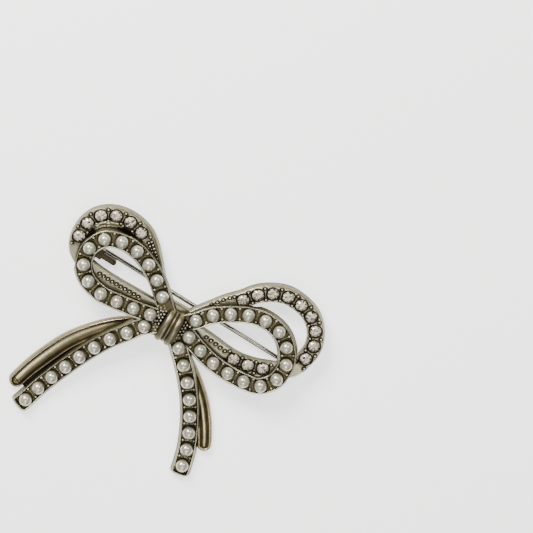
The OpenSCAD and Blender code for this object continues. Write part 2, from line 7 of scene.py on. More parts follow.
# %% Load the frame
import bmesh
import bpy
import math
import numpy as np
from mathutils import Matrix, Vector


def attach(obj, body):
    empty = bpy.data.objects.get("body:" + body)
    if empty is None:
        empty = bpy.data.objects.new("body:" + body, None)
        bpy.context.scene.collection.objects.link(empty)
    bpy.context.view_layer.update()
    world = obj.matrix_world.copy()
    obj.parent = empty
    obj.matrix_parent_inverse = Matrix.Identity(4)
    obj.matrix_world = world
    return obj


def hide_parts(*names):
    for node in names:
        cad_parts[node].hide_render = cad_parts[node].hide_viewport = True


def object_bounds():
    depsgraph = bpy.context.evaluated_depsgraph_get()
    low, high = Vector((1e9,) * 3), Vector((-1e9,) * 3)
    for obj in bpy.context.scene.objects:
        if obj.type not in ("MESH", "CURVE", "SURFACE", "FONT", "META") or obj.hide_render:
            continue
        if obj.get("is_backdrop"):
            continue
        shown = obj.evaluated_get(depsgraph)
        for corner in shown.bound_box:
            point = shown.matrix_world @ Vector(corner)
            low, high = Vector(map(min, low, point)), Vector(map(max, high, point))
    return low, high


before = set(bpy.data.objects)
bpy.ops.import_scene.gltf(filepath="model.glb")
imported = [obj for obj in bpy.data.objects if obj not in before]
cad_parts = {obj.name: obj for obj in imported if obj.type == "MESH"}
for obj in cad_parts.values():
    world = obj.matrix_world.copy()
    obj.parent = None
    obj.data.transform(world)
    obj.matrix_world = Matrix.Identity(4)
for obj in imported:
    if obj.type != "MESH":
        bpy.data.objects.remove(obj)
cad_low, cad_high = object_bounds()
cad_low, cad_high = [float(v) for v in cad_low], [float(v) for v in cad_high]
print("CAD box in mm:", [round(v * 1000, 2) for v in cad_low], [round(v * 1000, 2) for v in cad_high])

# %% [markdown]
# ## Sizes
# Everything below is thought out in millimetres with the knot at the middle, as a jeweller would
# draw it. The tables are the given routes of the ribbons, as shares of the bow's reach, of the
# rise of its loops and of the fall of its tails, so they are the same routes as in the CAD part. In
# the rows of the crystal loops the last two shares are the widths of the outer and the inner shoulder,
# and in those of the plain tails the last one is the width.

# %% Sizes in millimetres
MM = 0.001
KNOT = np.array([-1.25705, 7.2438, 0.0])        # the middle of the knot in the frame
REACH, RISE, FALL = 31.0, 21.0, 35.0            # half the bow's width, the loops' height, the tails' drop
RIBBON_T, FLUTED_T, FLUTED_W = 1.6, 1.4, 3.9    # thickness of a ribbon, thickness and width of a plain tail
BACK_BASE, FRONT_BASE = 2.75, 4.40              # undersides of the lower and of the upper layer
HAIR = 0.012                                    # step in height between ribbons that cross in one layer
CHANNEL_FLOOR, CHANNEL_HALF = 1.0, 1.56         # the channel that the pearls stand in
RIM_IN, RIM_OUT, WALL_IN, RIBBON_HALF, WALL = 1.62, 1.84, 1.86, 2.30, 0.46
PEARL_R, PEARL_BACK, PEARL_GAP, FIRST = 1.5, 0.6, 0.82, 4.35
STONE_R, STONE_PITCH = 1.35, 3.45
FACE_HALF, SHOULDER = 1.62, 1.5                 # the crystal ribbon's flat face and its full shoulder

LEFT_PEARL_LOOP = [
    [-0.03, 0.045], [-0.145, 0.2], [-0.25, 0.34], [-0.355, 0.445], [-0.475, 0.51], [-0.605, 0.52],
    [-0.725, 0.455], [-0.79, 0.285], [-0.765, 0.1], [-0.68, -0.025], [-0.545, -0.08], [-0.41, -0.065],
    [-0.285, -0.04], [-0.165, -0.01], [-0.03, 0.015]]
RIGHT_PEARL_LOOP = [
    [0.06, 0.05], [0.14, -0.005], [0.265, -0.075], [0.39, -0.125], [0.52, -0.145], [0.645, -0.14],
    [0.77, -0.1], [0.85, 0.04], [0.86, 0.24], [0.805, 0.4], [0.705, 0.515], [0.575, 0.55],
    [0.45, 0.515], [0.335, 0.43], [0.225, 0.32], [0.14, 0.18], [0.06, 0.07]]
LEFT_PEARL_TAIL = [
    [-0.045, -0.02], [-0.17, -0.1], [-0.25, -0.195], [-0.325, -0.285], [-0.39, -0.39], [-0.445, -0.495],
    [-0.495, -0.605], [-0.54, -0.71], [-0.58, -0.815], [-0.613, -0.92], [-0.63, -0.962]]
RIGHT_PEARL_TAIL = [
    [0.065, -0.045], [0.13, -0.1], [0.225, -0.185], [0.315, -0.275], [0.4, -0.375], [0.47, -0.475],
    [0.53, -0.58], [0.578, -0.685], [0.61, -0.787], [0.62, -0.832]]
LEFT_CRYSTAL_LOOP = [
    [-0.015, 0.05, 0.1, 0.25], [-0.13, 0.18, 0.1, 0.25], [-0.235, 0.32, 0.15, 0.25],
    [-0.33, 0.465, 0.35, 0.25], [-0.42, 0.59, 0.55, 0.5], [-0.51, 0.68, 0.6, 1],
    [-0.62, 0.725, 0.5, 1.1], [-0.74, 0.71, 0.4, 1.1], [-0.84, 0.62, 0.3, 0.8], [-0.89, 0.475, 0.2, 0.4],
    [-0.89, 0.305, 0.15, 0.25], [-0.845, 0.175, 0.15, 0.25], [-0.75, 0.095, 0.15, 0.25],
    [-0.63, 0.06, 0.15, 0.25], [-0.475, 0.05, 0.15, 0.25], [-0.315, 0.05, 0.15, 0.25],
    [-0.165, 0.045, 0.15, 0.25], [-0.005, 0.005, 0.15, 0.25]]
RIGHT_CRYSTAL_LOOP = [
    [0.075, 0.03, 0.15, 0.3], [0.2, 0.035, 0.15, 0.3], [0.325, 0.02, 0.15, 0.3], [0.435, 0, 0.15, 0.3],
    [0.54, -0.005, 0.15, 0.3], [0.645, 0.02, 0.15, 0.3], [0.74, 0.065, 0.15, 0.3],
    [0.845, 0.13, 0.1, 0.3], [0.93, 0.23, 0.1, 0.35], [0.965, 0.38, 0.2, 0.35], [0.97, 0.54, 0.25, 0.3],
    [0.925, 0.695, 0.25, 0.25], [0.845, 0.81, 0.35, 0.25], [0.745, 0.865, 0.4, 0.25],
    [0.625, 0.875, 0.45, 0.25], [0.525, 0.825, 0.45, 0.25], [0.435, 0.735, 0.45, 0.25],
    [0.36, 0.605, 0.4, 0.25], [0.28, 0.485, 0.35, 0.25], [0.21, 0.355, 0.3, 0.25],
    [0.14, 0.215, 0.3, 0.25], [0.07, 0.07, 0.3, 0.25]]
LEFT_FLUTED_TAIL = [
    [-0.015, -0.045, 0.5], [-0.145, -0.08, 0.6], [-0.265, -0.135, 0.7], [-0.385, -0.228, 0.82],
    [-0.49, -0.34, 0.92], [-0.575, -0.455, 0.98], [-0.64, -0.58, 1], [-0.7, -0.715, 0.96],
    [-0.74, -0.835, 0.9]]
RIGHT_FLUTED_TAIL = [
    [0.07, -0.065, 0.5], [0.215, -0.148, 0.66], [0.36, -0.248, 0.78], [0.485, -0.355, 0.86],
    [0.58, -0.465, 0.9], [0.64, -0.55, 0.88], [0.668, -0.597, 0.84]]

# %% [markdown]
# ## Camera and light
# The brooch lies on a white table and is photographed from almost straight above, from the side of
# its loops, with a long lens. So the camera stands far off, looks down at 77 degrees and is turned to
# the picture's own upright. A big soft light low at one side models the metal, and three weaker ones
# give the pearls their highlights.

# %% Camera
PHOTO_SIZE, MM_PER_PIXEL, SENSOR = 533, 0.222, 36.0
KNOT_ACROSS, KNOT_DOWN = 171.0, 327.5     # where the knot lies in the photo, in pixels
KNOT_TOP, LOOK_FROM, TURNED = 8.0, 1.6, math.radians(30.5)


def put_in_scene(name, data):
    """A new object with this data, linked into the scene."""
    made = bpy.data.objects.new(name, data)
    bpy.context.scene.collection.objects.link(made)
    return made


def direction(azimuth, elevation):
    """The unit vector away from the brooch at an azimuth and an elevation in degrees."""
    a, e = math.radians(azimuth), math.radians(elevation)
    return np.array([math.sin(a) * math.cos(e), -math.cos(a) * math.cos(e), math.sin(e)])


def aimed(right, up, away, place):
    """The matrix of a camera or light at a place, from its own right, up and backward directions."""
    axes = np.column_stack([right, up, away])
    return Matrix([[*axes[k], place[k]] for k in range(3)] + [[0, 0, 0, 1]])


backward = direction(210.5, 77.0)
image_right = np.array([math.cos(TURNED), math.sin(TURNED), 0.0])
image_up = np.cross(backward, image_right)
off_middle = (PHOTO_SIZE / 2 - KNOT_ACROSS) * image_right - (PHOTO_SIZE / 2 - KNOT_DOWN) * image_up
aim = (KNOT + [0, 0, KNOT_TOP]) * MM + off_middle * MM_PER_PIXEL * MM
camera_data = bpy.data.cameras.new("camera")
camera_data.sensor_width = SENSOR
camera_data.lens = SENSOR * LOOK_FROM / (PHOTO_SIZE * MM_PER_PIXEL * MM)
camera_data.clip_start, camera_data.clip_end = 0.05, 20.0
camera = put_in_scene("camera", camera_data)
camera.matrix_world = aimed(image_right, image_up, backward, aim + backward * LOOK_FROM)
bpy.context.scene.camera = camera
print("camera lens in mm:", round(camera_data.lens, 1))

# %% Soft lights
WARM_WHITE = (1.0, 0.985, 0.95)


def soft_light(name, azimuth, elevation, distance, size, power, tint=(1, 1, 1)):
    """A square area light on a sphere round the brooch, aimed at its middle."""
    away = direction(azimuth, elevation)
    side = np.cross([0, 0, 1.0], away)
    side = side / np.linalg.norm(side)
    data = bpy.data.lights.new(name, "AREA")
    data.shape, data.size, data.energy, data.color = "SQUARE", size, power, tint
    light = put_in_scene(name, data)
    light.matrix_world = aimed(side, np.cross(away, side), away, np.array([0, 0, 0.004]) + away * distance)
    print("light:", name, power, "W")


# Name, azimuth and elevation in degrees, distance, size, power and tint.
soft_light("key", 232, 38, 0.50, 0.20, 4.6, WARM_WHITE)
soft_light("window", 170, 48, 0.55, 0.12, 1.0, (0.98, 0.99, 1.0))
soft_light("over", 30, 66, 0.55, 0.16, 0.8)
soft_light("rim", 20, 25, 0.60, 0.30, 0.7)

world = bpy.data.worlds.new("studio")
bpy.context.scene.world = world
world.use_nodes = True
sky = world.node_tree.nodes["Background"]
sky.inputs["Color"].default_value = (*WARM_WHITE, 1.0)
sky.inputs["Strength"].default_value = 0.17

# %% [markdown]
# ## A small language for materials
# A material is a chain of nodes. This class lets a shader formula be written as Python: each value
# holds a socket, and + - * build the Math nodes between them.

# %% Sockets as numbers
class Paint:
    """A node socket that can be used in sums. Any other node comes from Paint.node."""

    def __init__(self, tree, socket):
        self.tree, self.socket = tree, socket

    @staticmethod
    def node(tree, kind, settings=None, outlet=0, **inputs):
        """Adds a node, gives it its settings, then its inputs by name or number, and returns one outlet."""
        made = tree.nodes.new(kind)
        for key, value in (settings or {}).items():
            if key == "stops":
                ramp = made.color_ramp
                while len(ramp.elements) < len(value):
                    ramp.elements.new(0.5)
                for element, (at, colour) in zip(ramp.elements, value):
                    element.position, element.color = at, (*colour, 1.0)
            else:
                setattr(made, key, value)
        for key, value in inputs.items():
            fill(tree, made.inputs[int(key[1:]) if key[0] == "_" else key.replace("_", " ")], value)
        return Paint(tree, made.outputs[outlet])

    def _sum(self, operation, a, b):
        return Paint.node(self.tree, "ShaderNodeMath", {"operation": operation}, _0=a, _1=b)

    def __add__(self, other): return self._sum("ADD", self, other)
    def __radd__(self, other): return self._sum("ADD", other, self)
    def __sub__(self, other): return self._sum("SUBTRACT", self, other)
    def __rsub__(self, other): return self._sum("SUBTRACT", other, self)
    def __mul__(self, other): return self._sum("MULTIPLY", self, other)
    def __rmul__(self, other): return self._sum("MULTIPLY", other, self)

    def clamped(self):
        """The value held between 0 and 1."""
        return Paint.node(self.tree, "ShaderNodeClamp", _0=self)


def fill(tree, slot, value):
    """Links a socket to another one, or sets its number or colour."""
    if isinstance(value, Paint):
        tree.links.new(value.socket, slot)
    else:
        slot.default_value = (*value, 1.0) if isinstance(value, tuple) else value

# %% Nodes that the finishes share
def carried(tree, label):
    """The value that each point of the mesh carries under a label."""
    return Paint.node(tree, "ShaderNodeAttribute", {"attribute_name": label}, outlet=2)


def noise(tree, scale, detail=2.0, roughness=0.5):
    """Cloudy noise on Object coordinates, from 0 to 1."""
    where = Paint.node(tree, "ShaderNodeTexCoord", outlet=3)
    return Paint.node(tree, "ShaderNodeTexNoise", Vector=where, Scale=scale, Detail=detail,
                      Roughness=roughness)


def bump(tree, height, strength, distance):
    """A normal that leans with the slope of a height."""
    return Paint.node(tree, "ShaderNodeBump", Height=height, Strength=strength, Distance=distance)


def colour_mix(tree, share, low, high):
    """A colour between low and high, by share."""
    return Paint.node(tree, "ShaderNodeMix", {"data_type": "RGBA"}, 2, _0=share, _6=low, _7=high)


def new_material(name):
    """An empty node material, and its tree."""
    material = bpy.data.materials.new(name)
    material.use_nodes = True
    return material, material.node_tree


def shaded(material, **inputs):
    """The same material, once the inputs of its Principled shader are linked or set by name."""
    tree = material.node_tree
    shader = next(n for n in tree.nodes if n.type == "BSDF_PRINCIPLED")
    for key, value in inputs.items():
        fill(tree, shader.inputs[key.replace("_", " ")], value)
    print("material:", material.name)
    return material

# %% [markdown]
# ## Antique silver
# The plating is a warm grey metal. A dark oxide fills the hollows and is rubbed off the high places.
# Each casting carries an attribute of oxide and painted shade, worked out with its shape: 0 on a rubbed
# edge and 1 at the bottom of a pit. In some places it also holds painted shade, where one part lies in
# the shadow of another, and painted light along a lit fold. A colour ramp turns it into bright and dark
# metal, with a little cloudy variation.

# %% Silver materials
def antique_silver(name, stops, rough_high, rough_low, metal):
    """Metal whose colour is read off the stops by the piece's value of oxide and painted shade, blotched by
    two noises.
    """
    material, tree = new_material(name)
    cloud, speck = noise(tree, 420.0, 3.0, 0.6), noise(tree, 2600.0)
    wear_and_shade = (carried(tree, "hollow") + (cloud - 0.5) * 0.30 + (speck - 0.5) * 0.10).clamped()
    colour = Paint.node(tree, "ShaderNodeValToRGB", {"stops": stops}, _0=wear_and_shade)
    rough = (wear_and_shade * (rough_low - rough_high) + (speck - 0.5) * 0.10 + rough_high).clamped()
    lean = bump(tree, speck * 0.6 + cloud * 0.4, 0.25, 0.00002)
    return shaded(material, Base_Color=colour, Roughness=rough, Metallic=metal, Normal=lean)


PEARL_METAL = antique_silver("pearl_ribbon_silver", [
    (0.0, (0.52, 0.50, 0.36)), (0.22, (0.275, 0.25, 0.148)), (0.5, (0.128, 0.105, 0.048)),
    (0.78, (0.024, 0.018, 0.006)), (1.0, (0.006, 0.005, 0.002))],
    rough_high=0.22, rough_low=0.58, metal=0.92)
CRYSTAL_METAL = antique_silver("crystal_ribbon_silver", [
    (0.0, (0.50, 0.48, 0.36)), (0.2, (0.36, 0.33, 0.225)), (0.5, (0.145, 0.128, 0.075)),
    (0.75, (0.026, 0.021, 0.011)), (1.0, (0.007, 0.006, 0.003))],
    rough_high=0.22, rough_low=0.58, metal=0.92)
TAIL_METAL = antique_silver("fluted_tail_silver", [
    (0.0, (0.52, 0.49, 0.36)), (0.25, (0.31, 0.265, 0.145)), (0.5, (0.14, 0.106, 0.046)),
    (0.8, (0.022, 0.015, 0.005)), (1.0, (0.004, 0.003, 0.0015))],
    rough_high=0.24, rough_low=0.46, metal=0.84)
KNOT_METAL = antique_silver("knot_silver", [
    (0.0, (0.36, 0.335, 0.24)), (0.25, (0.165, 0.142, 0.078)), (0.5, (0.085, 0.066, 0.032)),
    (0.8, (0.016, 0.012, 0.005)), (1.0, (0.004, 0.003, 0.0015))],
    rough_high=0.36, rough_low=0.52, metal=0.88)
GRAIN_METAL = antique_silver("grain_silver", [
    (0.0, (0.66, 0.62, 0.48)), (0.35, (0.36, 0.32, 0.21)), (0.8, (0.05, 0.038, 0.016))],
    rough_high=0.34, rough_low=0.5, metal=0.6)

# %% [markdown]
# ## Routes
# A ribbon follows a smooth curve through its table. The same cubic as in the CAD part is used, so the
# dressed ribbon lies exactly on the solid one. Then the curve is divided into even steps.

# %% A smooth curve in even steps
STEP = 0.11


def smooth(rows, steps=24):
    """A cubic through every row: its slope at a row is half the way from the one before to the one after."""
    rows = np.asarray(rows, float)
    a = rows[np.maximum(np.arange(len(rows) - 1) - 1, 0)]
    b, c = rows[:-1], rows[1:]
    d = rows[np.minimum(np.arange(len(rows) - 1) + 2, len(rows) - 1)]
    t = (np.arange(steps) / steps)[None, :, None]
    a, b, c, d = (x[:, None, :] for x in (a, b, c, d))
    curve = 0.5 * (2 * b + (c - a) * t + (2 * a - 5 * b + 4 * c - d) * t**2 + (3 * b - a - 3 * c + d) * t**3)
    return np.vstack([curve.reshape(-1, rows.shape[1]), rows[-1:]])


def even(curve, step):
    """Points at equal distances along a curve, each column read off by distance walked."""
    run = np.concatenate([[0], np.cumsum(np.linalg.norm(np.diff(curve[:, :2], axis=0), axis=1))])
    at = np.linspace(0, run[-1], int(run[-1] / step) + 1)
    return np.column_stack([np.interp(at, run, column) for column in curve.T]), at

# %% Ways
def unit(rows):
    """Each row at length 1."""
    return rows / np.linalg.norm(rows, axis=1)[:, None]


class Way:
    """A ribbon's middle line: points, distances walked, and the left and up directions there."""

    def __init__(self, rows, up, base, tip):
        """The table scaled to size. Its height goes from base to tip as half a wave of a cosine."""
        rows = np.array(rows, float)
        rows[:, :2] *= [REACH, up]
        points, self.run = even(smooth(rows), STEP)
        self.length = self.run[-1]
        z = base - (base - tip) * (1 - np.cos(np.pi * self.run / self.length)) / 2
        self.extra = points[:, 2:]
        self.points = np.column_stack([points[:, :2], z])
        self.ahead = unit(np.gradient(self.points, self.run, axis=0))
        self.left = unit(np.column_stack([-self.ahead[:, 1], self.ahead[:, 0], np.zeros(len(z))]))
        self.up = np.cross(self.ahead, self.left)

    def frames(self, stops):
        """Place, ahead, left and up at each distance walked, as four arrays."""
        place, ahead, left = (np.column_stack([np.interp(stops, self.run, column) for column in values.T])
                              for values in (self.points, self.ahead, self.left))
        ahead, left = unit(ahead), unit(left)
        return place, ahead, left, np.cross(ahead, left)

# %% Routes of the ribbons
def way_at(rows, up, base, hairs, tip=None):
    """A way some hairs above its layer's base, level or falling to a tip."""
    base = base + hairs * HAIR
    return Way(rows, up, base, base if tip is None else tip)


left_pearls = way_at(LEFT_PEARL_LOOP, RISE, FRONT_BASE, 3)
right_pearls = way_at(RIGHT_PEARL_LOOP, RISE, FRONT_BASE, 2)
left_tail = way_at(LEFT_PEARL_TAIL, FALL, FRONT_BASE, 1, 0.02)
right_tail = way_at(RIGHT_PEARL_TAIL, FALL, FRONT_BASE, 0, 0.02)
left_crystals = way_at(LEFT_CRYSTAL_LOOP, RISE, BACK_BASE, 0)
right_crystals = way_at(RIGHT_CRYSTAL_LOOP, RISE, BACK_BASE, 1)
left_fluted = way_at(LEFT_FLUTED_TAIL, FALL, BACK_BASE, 2, 0.3)
right_fluted = way_at(RIGHT_FLUTED_TAIL, FALL, BACK_BASE, 3, 0.3)
PEARL_WAYS = (left_pearls, right_pearls, left_tail, right_tail)
CRYSTAL_WAYS = (left_crystals, right_crystals)
print("ribbon lengths in mm:", [round(way.length, 1) for way in PEARL_WAYS + CRYSTAL_WAYS])

# %% Where the pearls and the crystals sit
def pearl_stops(way, first, last):
    """Even stops between the first and the last pearl, at least a pearl and a gap apart."""
    room = way.length - first - last
    gaps = int(room // (2 * PEARL_R + PEARL_GAP))
    return first + room * np.arange(gaps + 1) / gaps


TAIL_LAST = CHANNEL_HALF + 0.1
PEARL_STOPS = {
    "left_loop": (left_pearls, pearl_stops(left_pearls, FIRST * 1.25, FIRST)),
    "right_loop": (right_pearls, pearl_stops(right_pearls, FIRST * 0.75, FIRST * 0.75)),
    "left_tail": (left_tail, pearl_stops(left_tail, FIRST, TAIL_LAST)),
    "right_tail": (right_tail, pearl_stops(right_tail, FIRST * 0.65, TAIL_LAST))}
left_stones = left_crystals.length * 0.303 + STONE_PITCH * np.arange(6)
right_stones = right_crystals.length * 0.427 + STONE_PITCH * np.arange(9)
lower_stones = right_crystals.length * 0.189 + STONE_PITCH * np.arange(3)
print("pearls:", {k: len(v[1]) for k, v in PEARL_STOPS.items()})

# %% [markdown]
# ## Surfaces as grids
# A ribbon is a grid: one direction runs along it, the other across its section. A closed solid comes
# from a section that goes all the way round, with a flat cap at each end. Where a height or a tone
# changes over a ribbon, it comes from a distance, through a soft step or a hump.

# %% One mesh object
def add_object(name, points, faces, material, hollow=None, tint=None, smooth_faces=True, weld=False):
    """One mesh object from points in millimetres about the knot and arrays of quads and triangles."""
    points = (np.asarray(points, float) + KNOT) * MM
    mesh = bpy.data.meshes.new(name)
    mesh.vertices.add(len(points))
    mesh.vertices.foreach_set("co", points.astype(np.float32).ravel())
    loops = np.concatenate([part.ravel() for part in faces]).astype(np.int32)
    totals = np.concatenate([np.full(len(part), part.shape[1]) for part in faces]).astype(np.int32)
    mesh.loops.add(len(loops))
    mesh.loops.foreach_set("vertex_index", loops)
    mesh.polygons.add(len(totals))
    mesh.polygons.foreach_set("loop_start", np.concatenate([[0], np.cumsum(totals)[:-1]]).astype(np.int32))
    mesh.polygons.foreach_set("loop_total", totals)
    mesh.update(calc_edges=True)
    mesh.validate()
    mesh.polygons.foreach_set("use_smooth", np.full(len(mesh.polygons), smooth_faces))
    for label, values in (("hollow", hollow), ("tint", tint)):
        if values is not None:
            layer = mesh.attributes.new(label, "FLOAT", "POINT")
            layer.data.foreach_set("value", np.ravel(values).astype(np.float32))
    if weld:
        net = bmesh.new()
        net.from_mesh(mesh)
        bmesh.ops.remove_doubles(net, verts=net.verts, dist=1e-8)
        net.to_mesh(mesh)
        net.free()
    mesh.materials.append(material)
    print(name, "faces:", len(mesh.polygons))
    return put_in_scene(name, mesh)

# %% Faces of a grid and its ends
def grid_faces(rows, columns, round_across=True, round_along=False):
    """Quads between neighbouring rows and columns of a grid, closed round either way if asked."""
    i = np.arange(rows if round_along else rows - 1)[:, None]
    j = np.arange(columns if round_across else columns - 1)[None, :]
    here, there = i * columns, (i + 1) % rows * columns
    after = (j + 1) % columns
    return np.stack([here + j, here + after, there + after, there + j], -1).reshape(-1, 4)


def end_caps(rows, columns):
    """Triangle fans that close the two ends of a swept section, each about its first point."""
    k = np.arange(1, columns - 1)
    first = np.stack([np.zeros_like(k), k + 1, k], -1)
    last = np.stack([np.zeros_like(k), k, k + 1], -1) + (rows - 1) * columns
    return np.vstack([first, last])

# %% Sections carried along a way
def swept(way, across, height):
    """Points of a ribbon: at each station, a point goes across along left and height along up."""
    return (way.points[:, None, :] + across[..., None] * way.left[:, None, :]
            + height[..., None] * way.up[:, None, :])


def add_swept(name, sections, material, hollow, clockwise=True, smooth_faces=True):
    """A closed solid from a section at each station, whose points run clockwise or the other way."""
    rows, columns = sections.shape[:2]
    faces = [grid_faces(rows, columns), end_caps(rows, columns)]
    if clockwise:
        faces = [part[:, ::-1] for part in faces]
    return add_object(name, sections.reshape(-1, 3), faces, material, hollow, smooth_faces=smooth_faces)

# %% Distances and soft steps
def nearness(points, centres):
    """Distance in plan from each point to the nearest centre."""
    flat = points.reshape(-1, points.shape[-1])[:, :2]
    best = np.full(len(flat), 1e9)
    for centre in centres:
        best = np.minimum(best, np.hypot(flat[:, 0] - centre[0], flat[:, 1] - centre[1]))
    return best.reshape(points.shape[:-1])


def from_ways(points, ways, every=3):
    """Distance in plan from each point to the nearest of some ribbons' middle lines."""
    return np.minimum.reduce([nearness(points, way.points[::every, :2]) for way in ways])


def step_up(x, low, high):
    """A smooth step from 0 at low to 1 at high."""
    t = np.clip((x - low) / (high - low), 0, 1)
    return t * t * (3 - 2 * t)


def hump(x, at, width):
    """A bell curve of height 1 about one value."""
    return np.exp(-((x - at) / width) ** 2)


def blend(low, high, share):
    """Low at share 0 and high at share 1."""
    return low * (1 - share) + high * share

# %% [markdown]
# ## Pearl ribbons
# The real ribbon is a shallow channel with a thin polished rim along each side and sloping outer
# walls. Each pearl sits in a round cup cut in the channel, and the metal between two cups stands up
# in a low ridge. The height is worked out from the distance to the nearest pearl, so cups and ridges
# follow the pearls by themselves, and the tone of oxide and painted shade is taken from the same
# numbers. Where a crystal ribbon lies below, the wall is steep, so that it doesn't hide the face under
# it, and it is painted dark as shade. The wall is also painted darker towards its foot as shade, and
# the metal under a crossing ribbon is sunk and painted dark as its shadow.

# %% What lies round a pearl ribbon
STEEP_WITHIN, SLOPING_FROM = 1.9, 2.7           # distances in plan from a crystal ribbon's middle
CROSSED_WITHIN, CLEAR_FROM = 1.66, 1.80         # distances in plan from another pearl ribbon's middle


def halfway(stops):
    """The stops halfway between neighbours."""
    return (stops[1:] + stops[:-1]) / 2


def channel_grains(way, stops):
    """Places of a pair of grains halfway between neighbouring pearls, just inside the rims."""
    place, _, left, up = way.frames(halfway(stops))
    aside, rise = CHANNEL_HALF - 0.33, CHANNEL_FLOOR + 0.12
    return np.concatenate([place + side * aside * left + rise * up for side in (-1, 1)])


def wall_steepness(way, across):
    """1 on the side where a crystal ribbon lies close below, and 0 where none does."""
    rims = swept(way, np.tile([-RIBBON_HALF, RIBBON_HALF], (len(way.run), 1)), np.zeros((len(way.run), 2)))
    steep = 1 - step_up(from_ways(rims, CRYSTAL_WAYS), STEEP_WITHIN, SLOPING_FROM)
    return np.where(across < 0, steep[:, :1], steep[:, 1:])


def crossed(way, flat):
    """1 where another pearl ribbon, or the far end of the same loop, crosses this one."""
    cover = from_ways(flat, [other for other in PEARL_WAYS if other is not way])
    third = len(way.run) // 3
    if way in (left_pearls, right_pearls):
        start, end = way.points[:third:3], way.points[-third::3]
        cover[:third] = np.minimum(cover[:third], nearness(flat[:third], end))
        cover[-third:] = np.minimum(cover[-third:], nearness(flat[-third:], start))
    return 1 - step_up(cover, CROSSED_WITHIN, CLEAR_FROM)

# %% Pearl ribbons
EDGE_ACROSS = np.array([1.56, 1.585, 1.62, 1.68, 1.74, 1.80, 1.845, 1.885, 1.95, 2.05, 2.16, 2.26, 2.30])
PEARL_ACROSS = np.concatenate([-EDGE_ACROSS[::-1], np.linspace(-1.53, 1.53, 27), EDGE_ACROSS])
# The cups are dark with oxide and with painted shade round each pearl's foot; the tail cups are painted
# lighter, as painted light against the cast shadow there.
LOOP_CUPS, TAIL_CUPS = 0.80, 0.44               # tones of the cups under the pearls
CUP_SINK, RIDGE_RISE, CLIMB = 0.10, 0.18, 0.03  # cups and ridges, and the climb of a ribbon's underside


def add_ribbon(name, way, across, height, hollow, foot, lift, material):
    """Closes a section under its foot. The underside climbs a little, so that crossing ones part."""
    under = np.zeros_like(foot)
    height = np.maximum(np.hstack([height, under]), lift + CLIMB * way.run[:, None] / way.length)
    points = swept(way, np.hstack([across, foot]), height)
    return add_swept(name, points, material, np.hstack([hollow, under + 0.6]))


def pearl_ribbon(name, way, stops, cup_tone, lift):
    """Height over the width: sloping wall, rounded rim, then a floor with a ridge between the cups."""
    across = PEARL_ACROSS * np.ones((len(way.run), 1))
    u = np.abs(across)
    steep = wall_steepness(way, across)
    across = np.sign(across) * np.where(u > WALL_IN, WALL_IN + (u - WALL_IN) * (1 - 0.82 * steep), u)
    flat = swept(way, across, np.full_like(across, CHANNEL_FLOOR))
    ridge = step_up(nearness(flat, way.frames(stops)[0]), PEARL_R, PEARL_R + 0.12)
    sunk = crossed(way, flat)
    floor = CHANNEL_FLOOR - CUP_SINK + RIDGE_RISE * ridge
    inner = blend(floor, RIBBON_T - 0.02, step_up(u, 1.50, 1.60))
    rim = RIBBON_T - 0.06 * ((u - 1.70) / 0.14) ** 2
    wall = RIBBON_T * np.clip((RIBBON_HALF - u) / WALL, 0, 1) ** 0.9
    height = np.minimum(np.select([u < RIM_IN, u < RIM_OUT], [inner, rim], wall), RIBBON_T)
    height = height + sunk * np.minimum(CHANNEL_FLOOR - CUP_SINK - height, 0)
    ring = hump(nearness(flat, channel_grains(way, stops)), 0.36, 0.13)
    floor_tone = blend(cup_tone, 0.57, ridge) + 0.35 * ring * ridge
    # Painted shade: the outer wall darkens towards its foot, and turns dark where a crystal ribbon lies close
    # below.
    wall_tone = blend(0.35 + 0.2 * step_up(u, 1.9, 2.2) + 0.3 * step_up(u, 2.2, 2.3), 0.82, steep)
    hollow = np.select([u < CHANNEL_HALF, u < RIM_IN, u < WALL_IN], [floor_tone, 0.45, 0.08], wall_tone)
    foot = across[:, [-1, 0]] * 0.98
    # Painted shade: where another ribbon crosses over, the metal is darkened.
    return add_ribbon(name, way, across, height, blend(hollow, 0.8, sunk), foot, lift, PEARL_METAL)


PEARL_RIBBONS = [
    pearl_ribbon("left_pearl_ribbon", *PEARL_STOPS["left_loop"], LOOP_CUPS, 0.0),
    pearl_ribbon("right_pearl_ribbon", *PEARL_STOPS["right_loop"], LOOP_CUPS, 0.04),
    pearl_ribbon("left_pearl_tail", *PEARL_STOPS["left_tail"], TAIL_CUPS, 0.08),
    pearl_ribbon("right_pearl_tail", *PEARL_STOPS["right_tail"], TAIL_CUPS, 0.12)]

# %% [markdown]
# ## Rounded ends of the tails
# Past the last pearl each tail is closed by a rim that turns the corners. It is made as rings of half
# a rounded square, set one inside the other: up the sloping wall, over the rim, and down into the
# hollow behind the last pearl. A shape that is set down once or many times goes through one function.

# %% Shapes set down in frames
def lids(rows, columns):
    """Fans that close the last and the first ring of a tube, about two points that follow the rings."""
    k, n = np.arange(columns), rows * columns
    after = (k + 1) % columns
    top = np.stack([(rows - 1) * columns + k, (rows - 1) * columns + after, np.full(columns, n)], -1)
    bottom = np.stack([after, k, np.full(columns, n + 1)], -1)
    return np.vstack([top, bottom])


def add_copies(name, frames, shape, faces, material, hollow=None, **looks):
    """A shape in every frame, where x goes ahead, y to the left and z up: one shape, or one for each."""
    place, ahead, left, up = (part[:, None, :] for part in frames)
    points = place + shape[..., 0:1] * ahead + shape[..., 1:2] * left + shape[..., 2:3] * up
    count, size = points.shape[:2]
    first = size * np.arange(count)[:, None, None]
    faces = [(part[None] + first).reshape(-1, part.shape[1]) for part in faces]
    hollow = None if hollow is None else np.tile(np.ravel(hollow), count)
    return add_object(name, points.reshape(-1, 3), faces, material, hollow, **looks)

# %% Tail ends
ROUNDNESS = 2 / 2.7
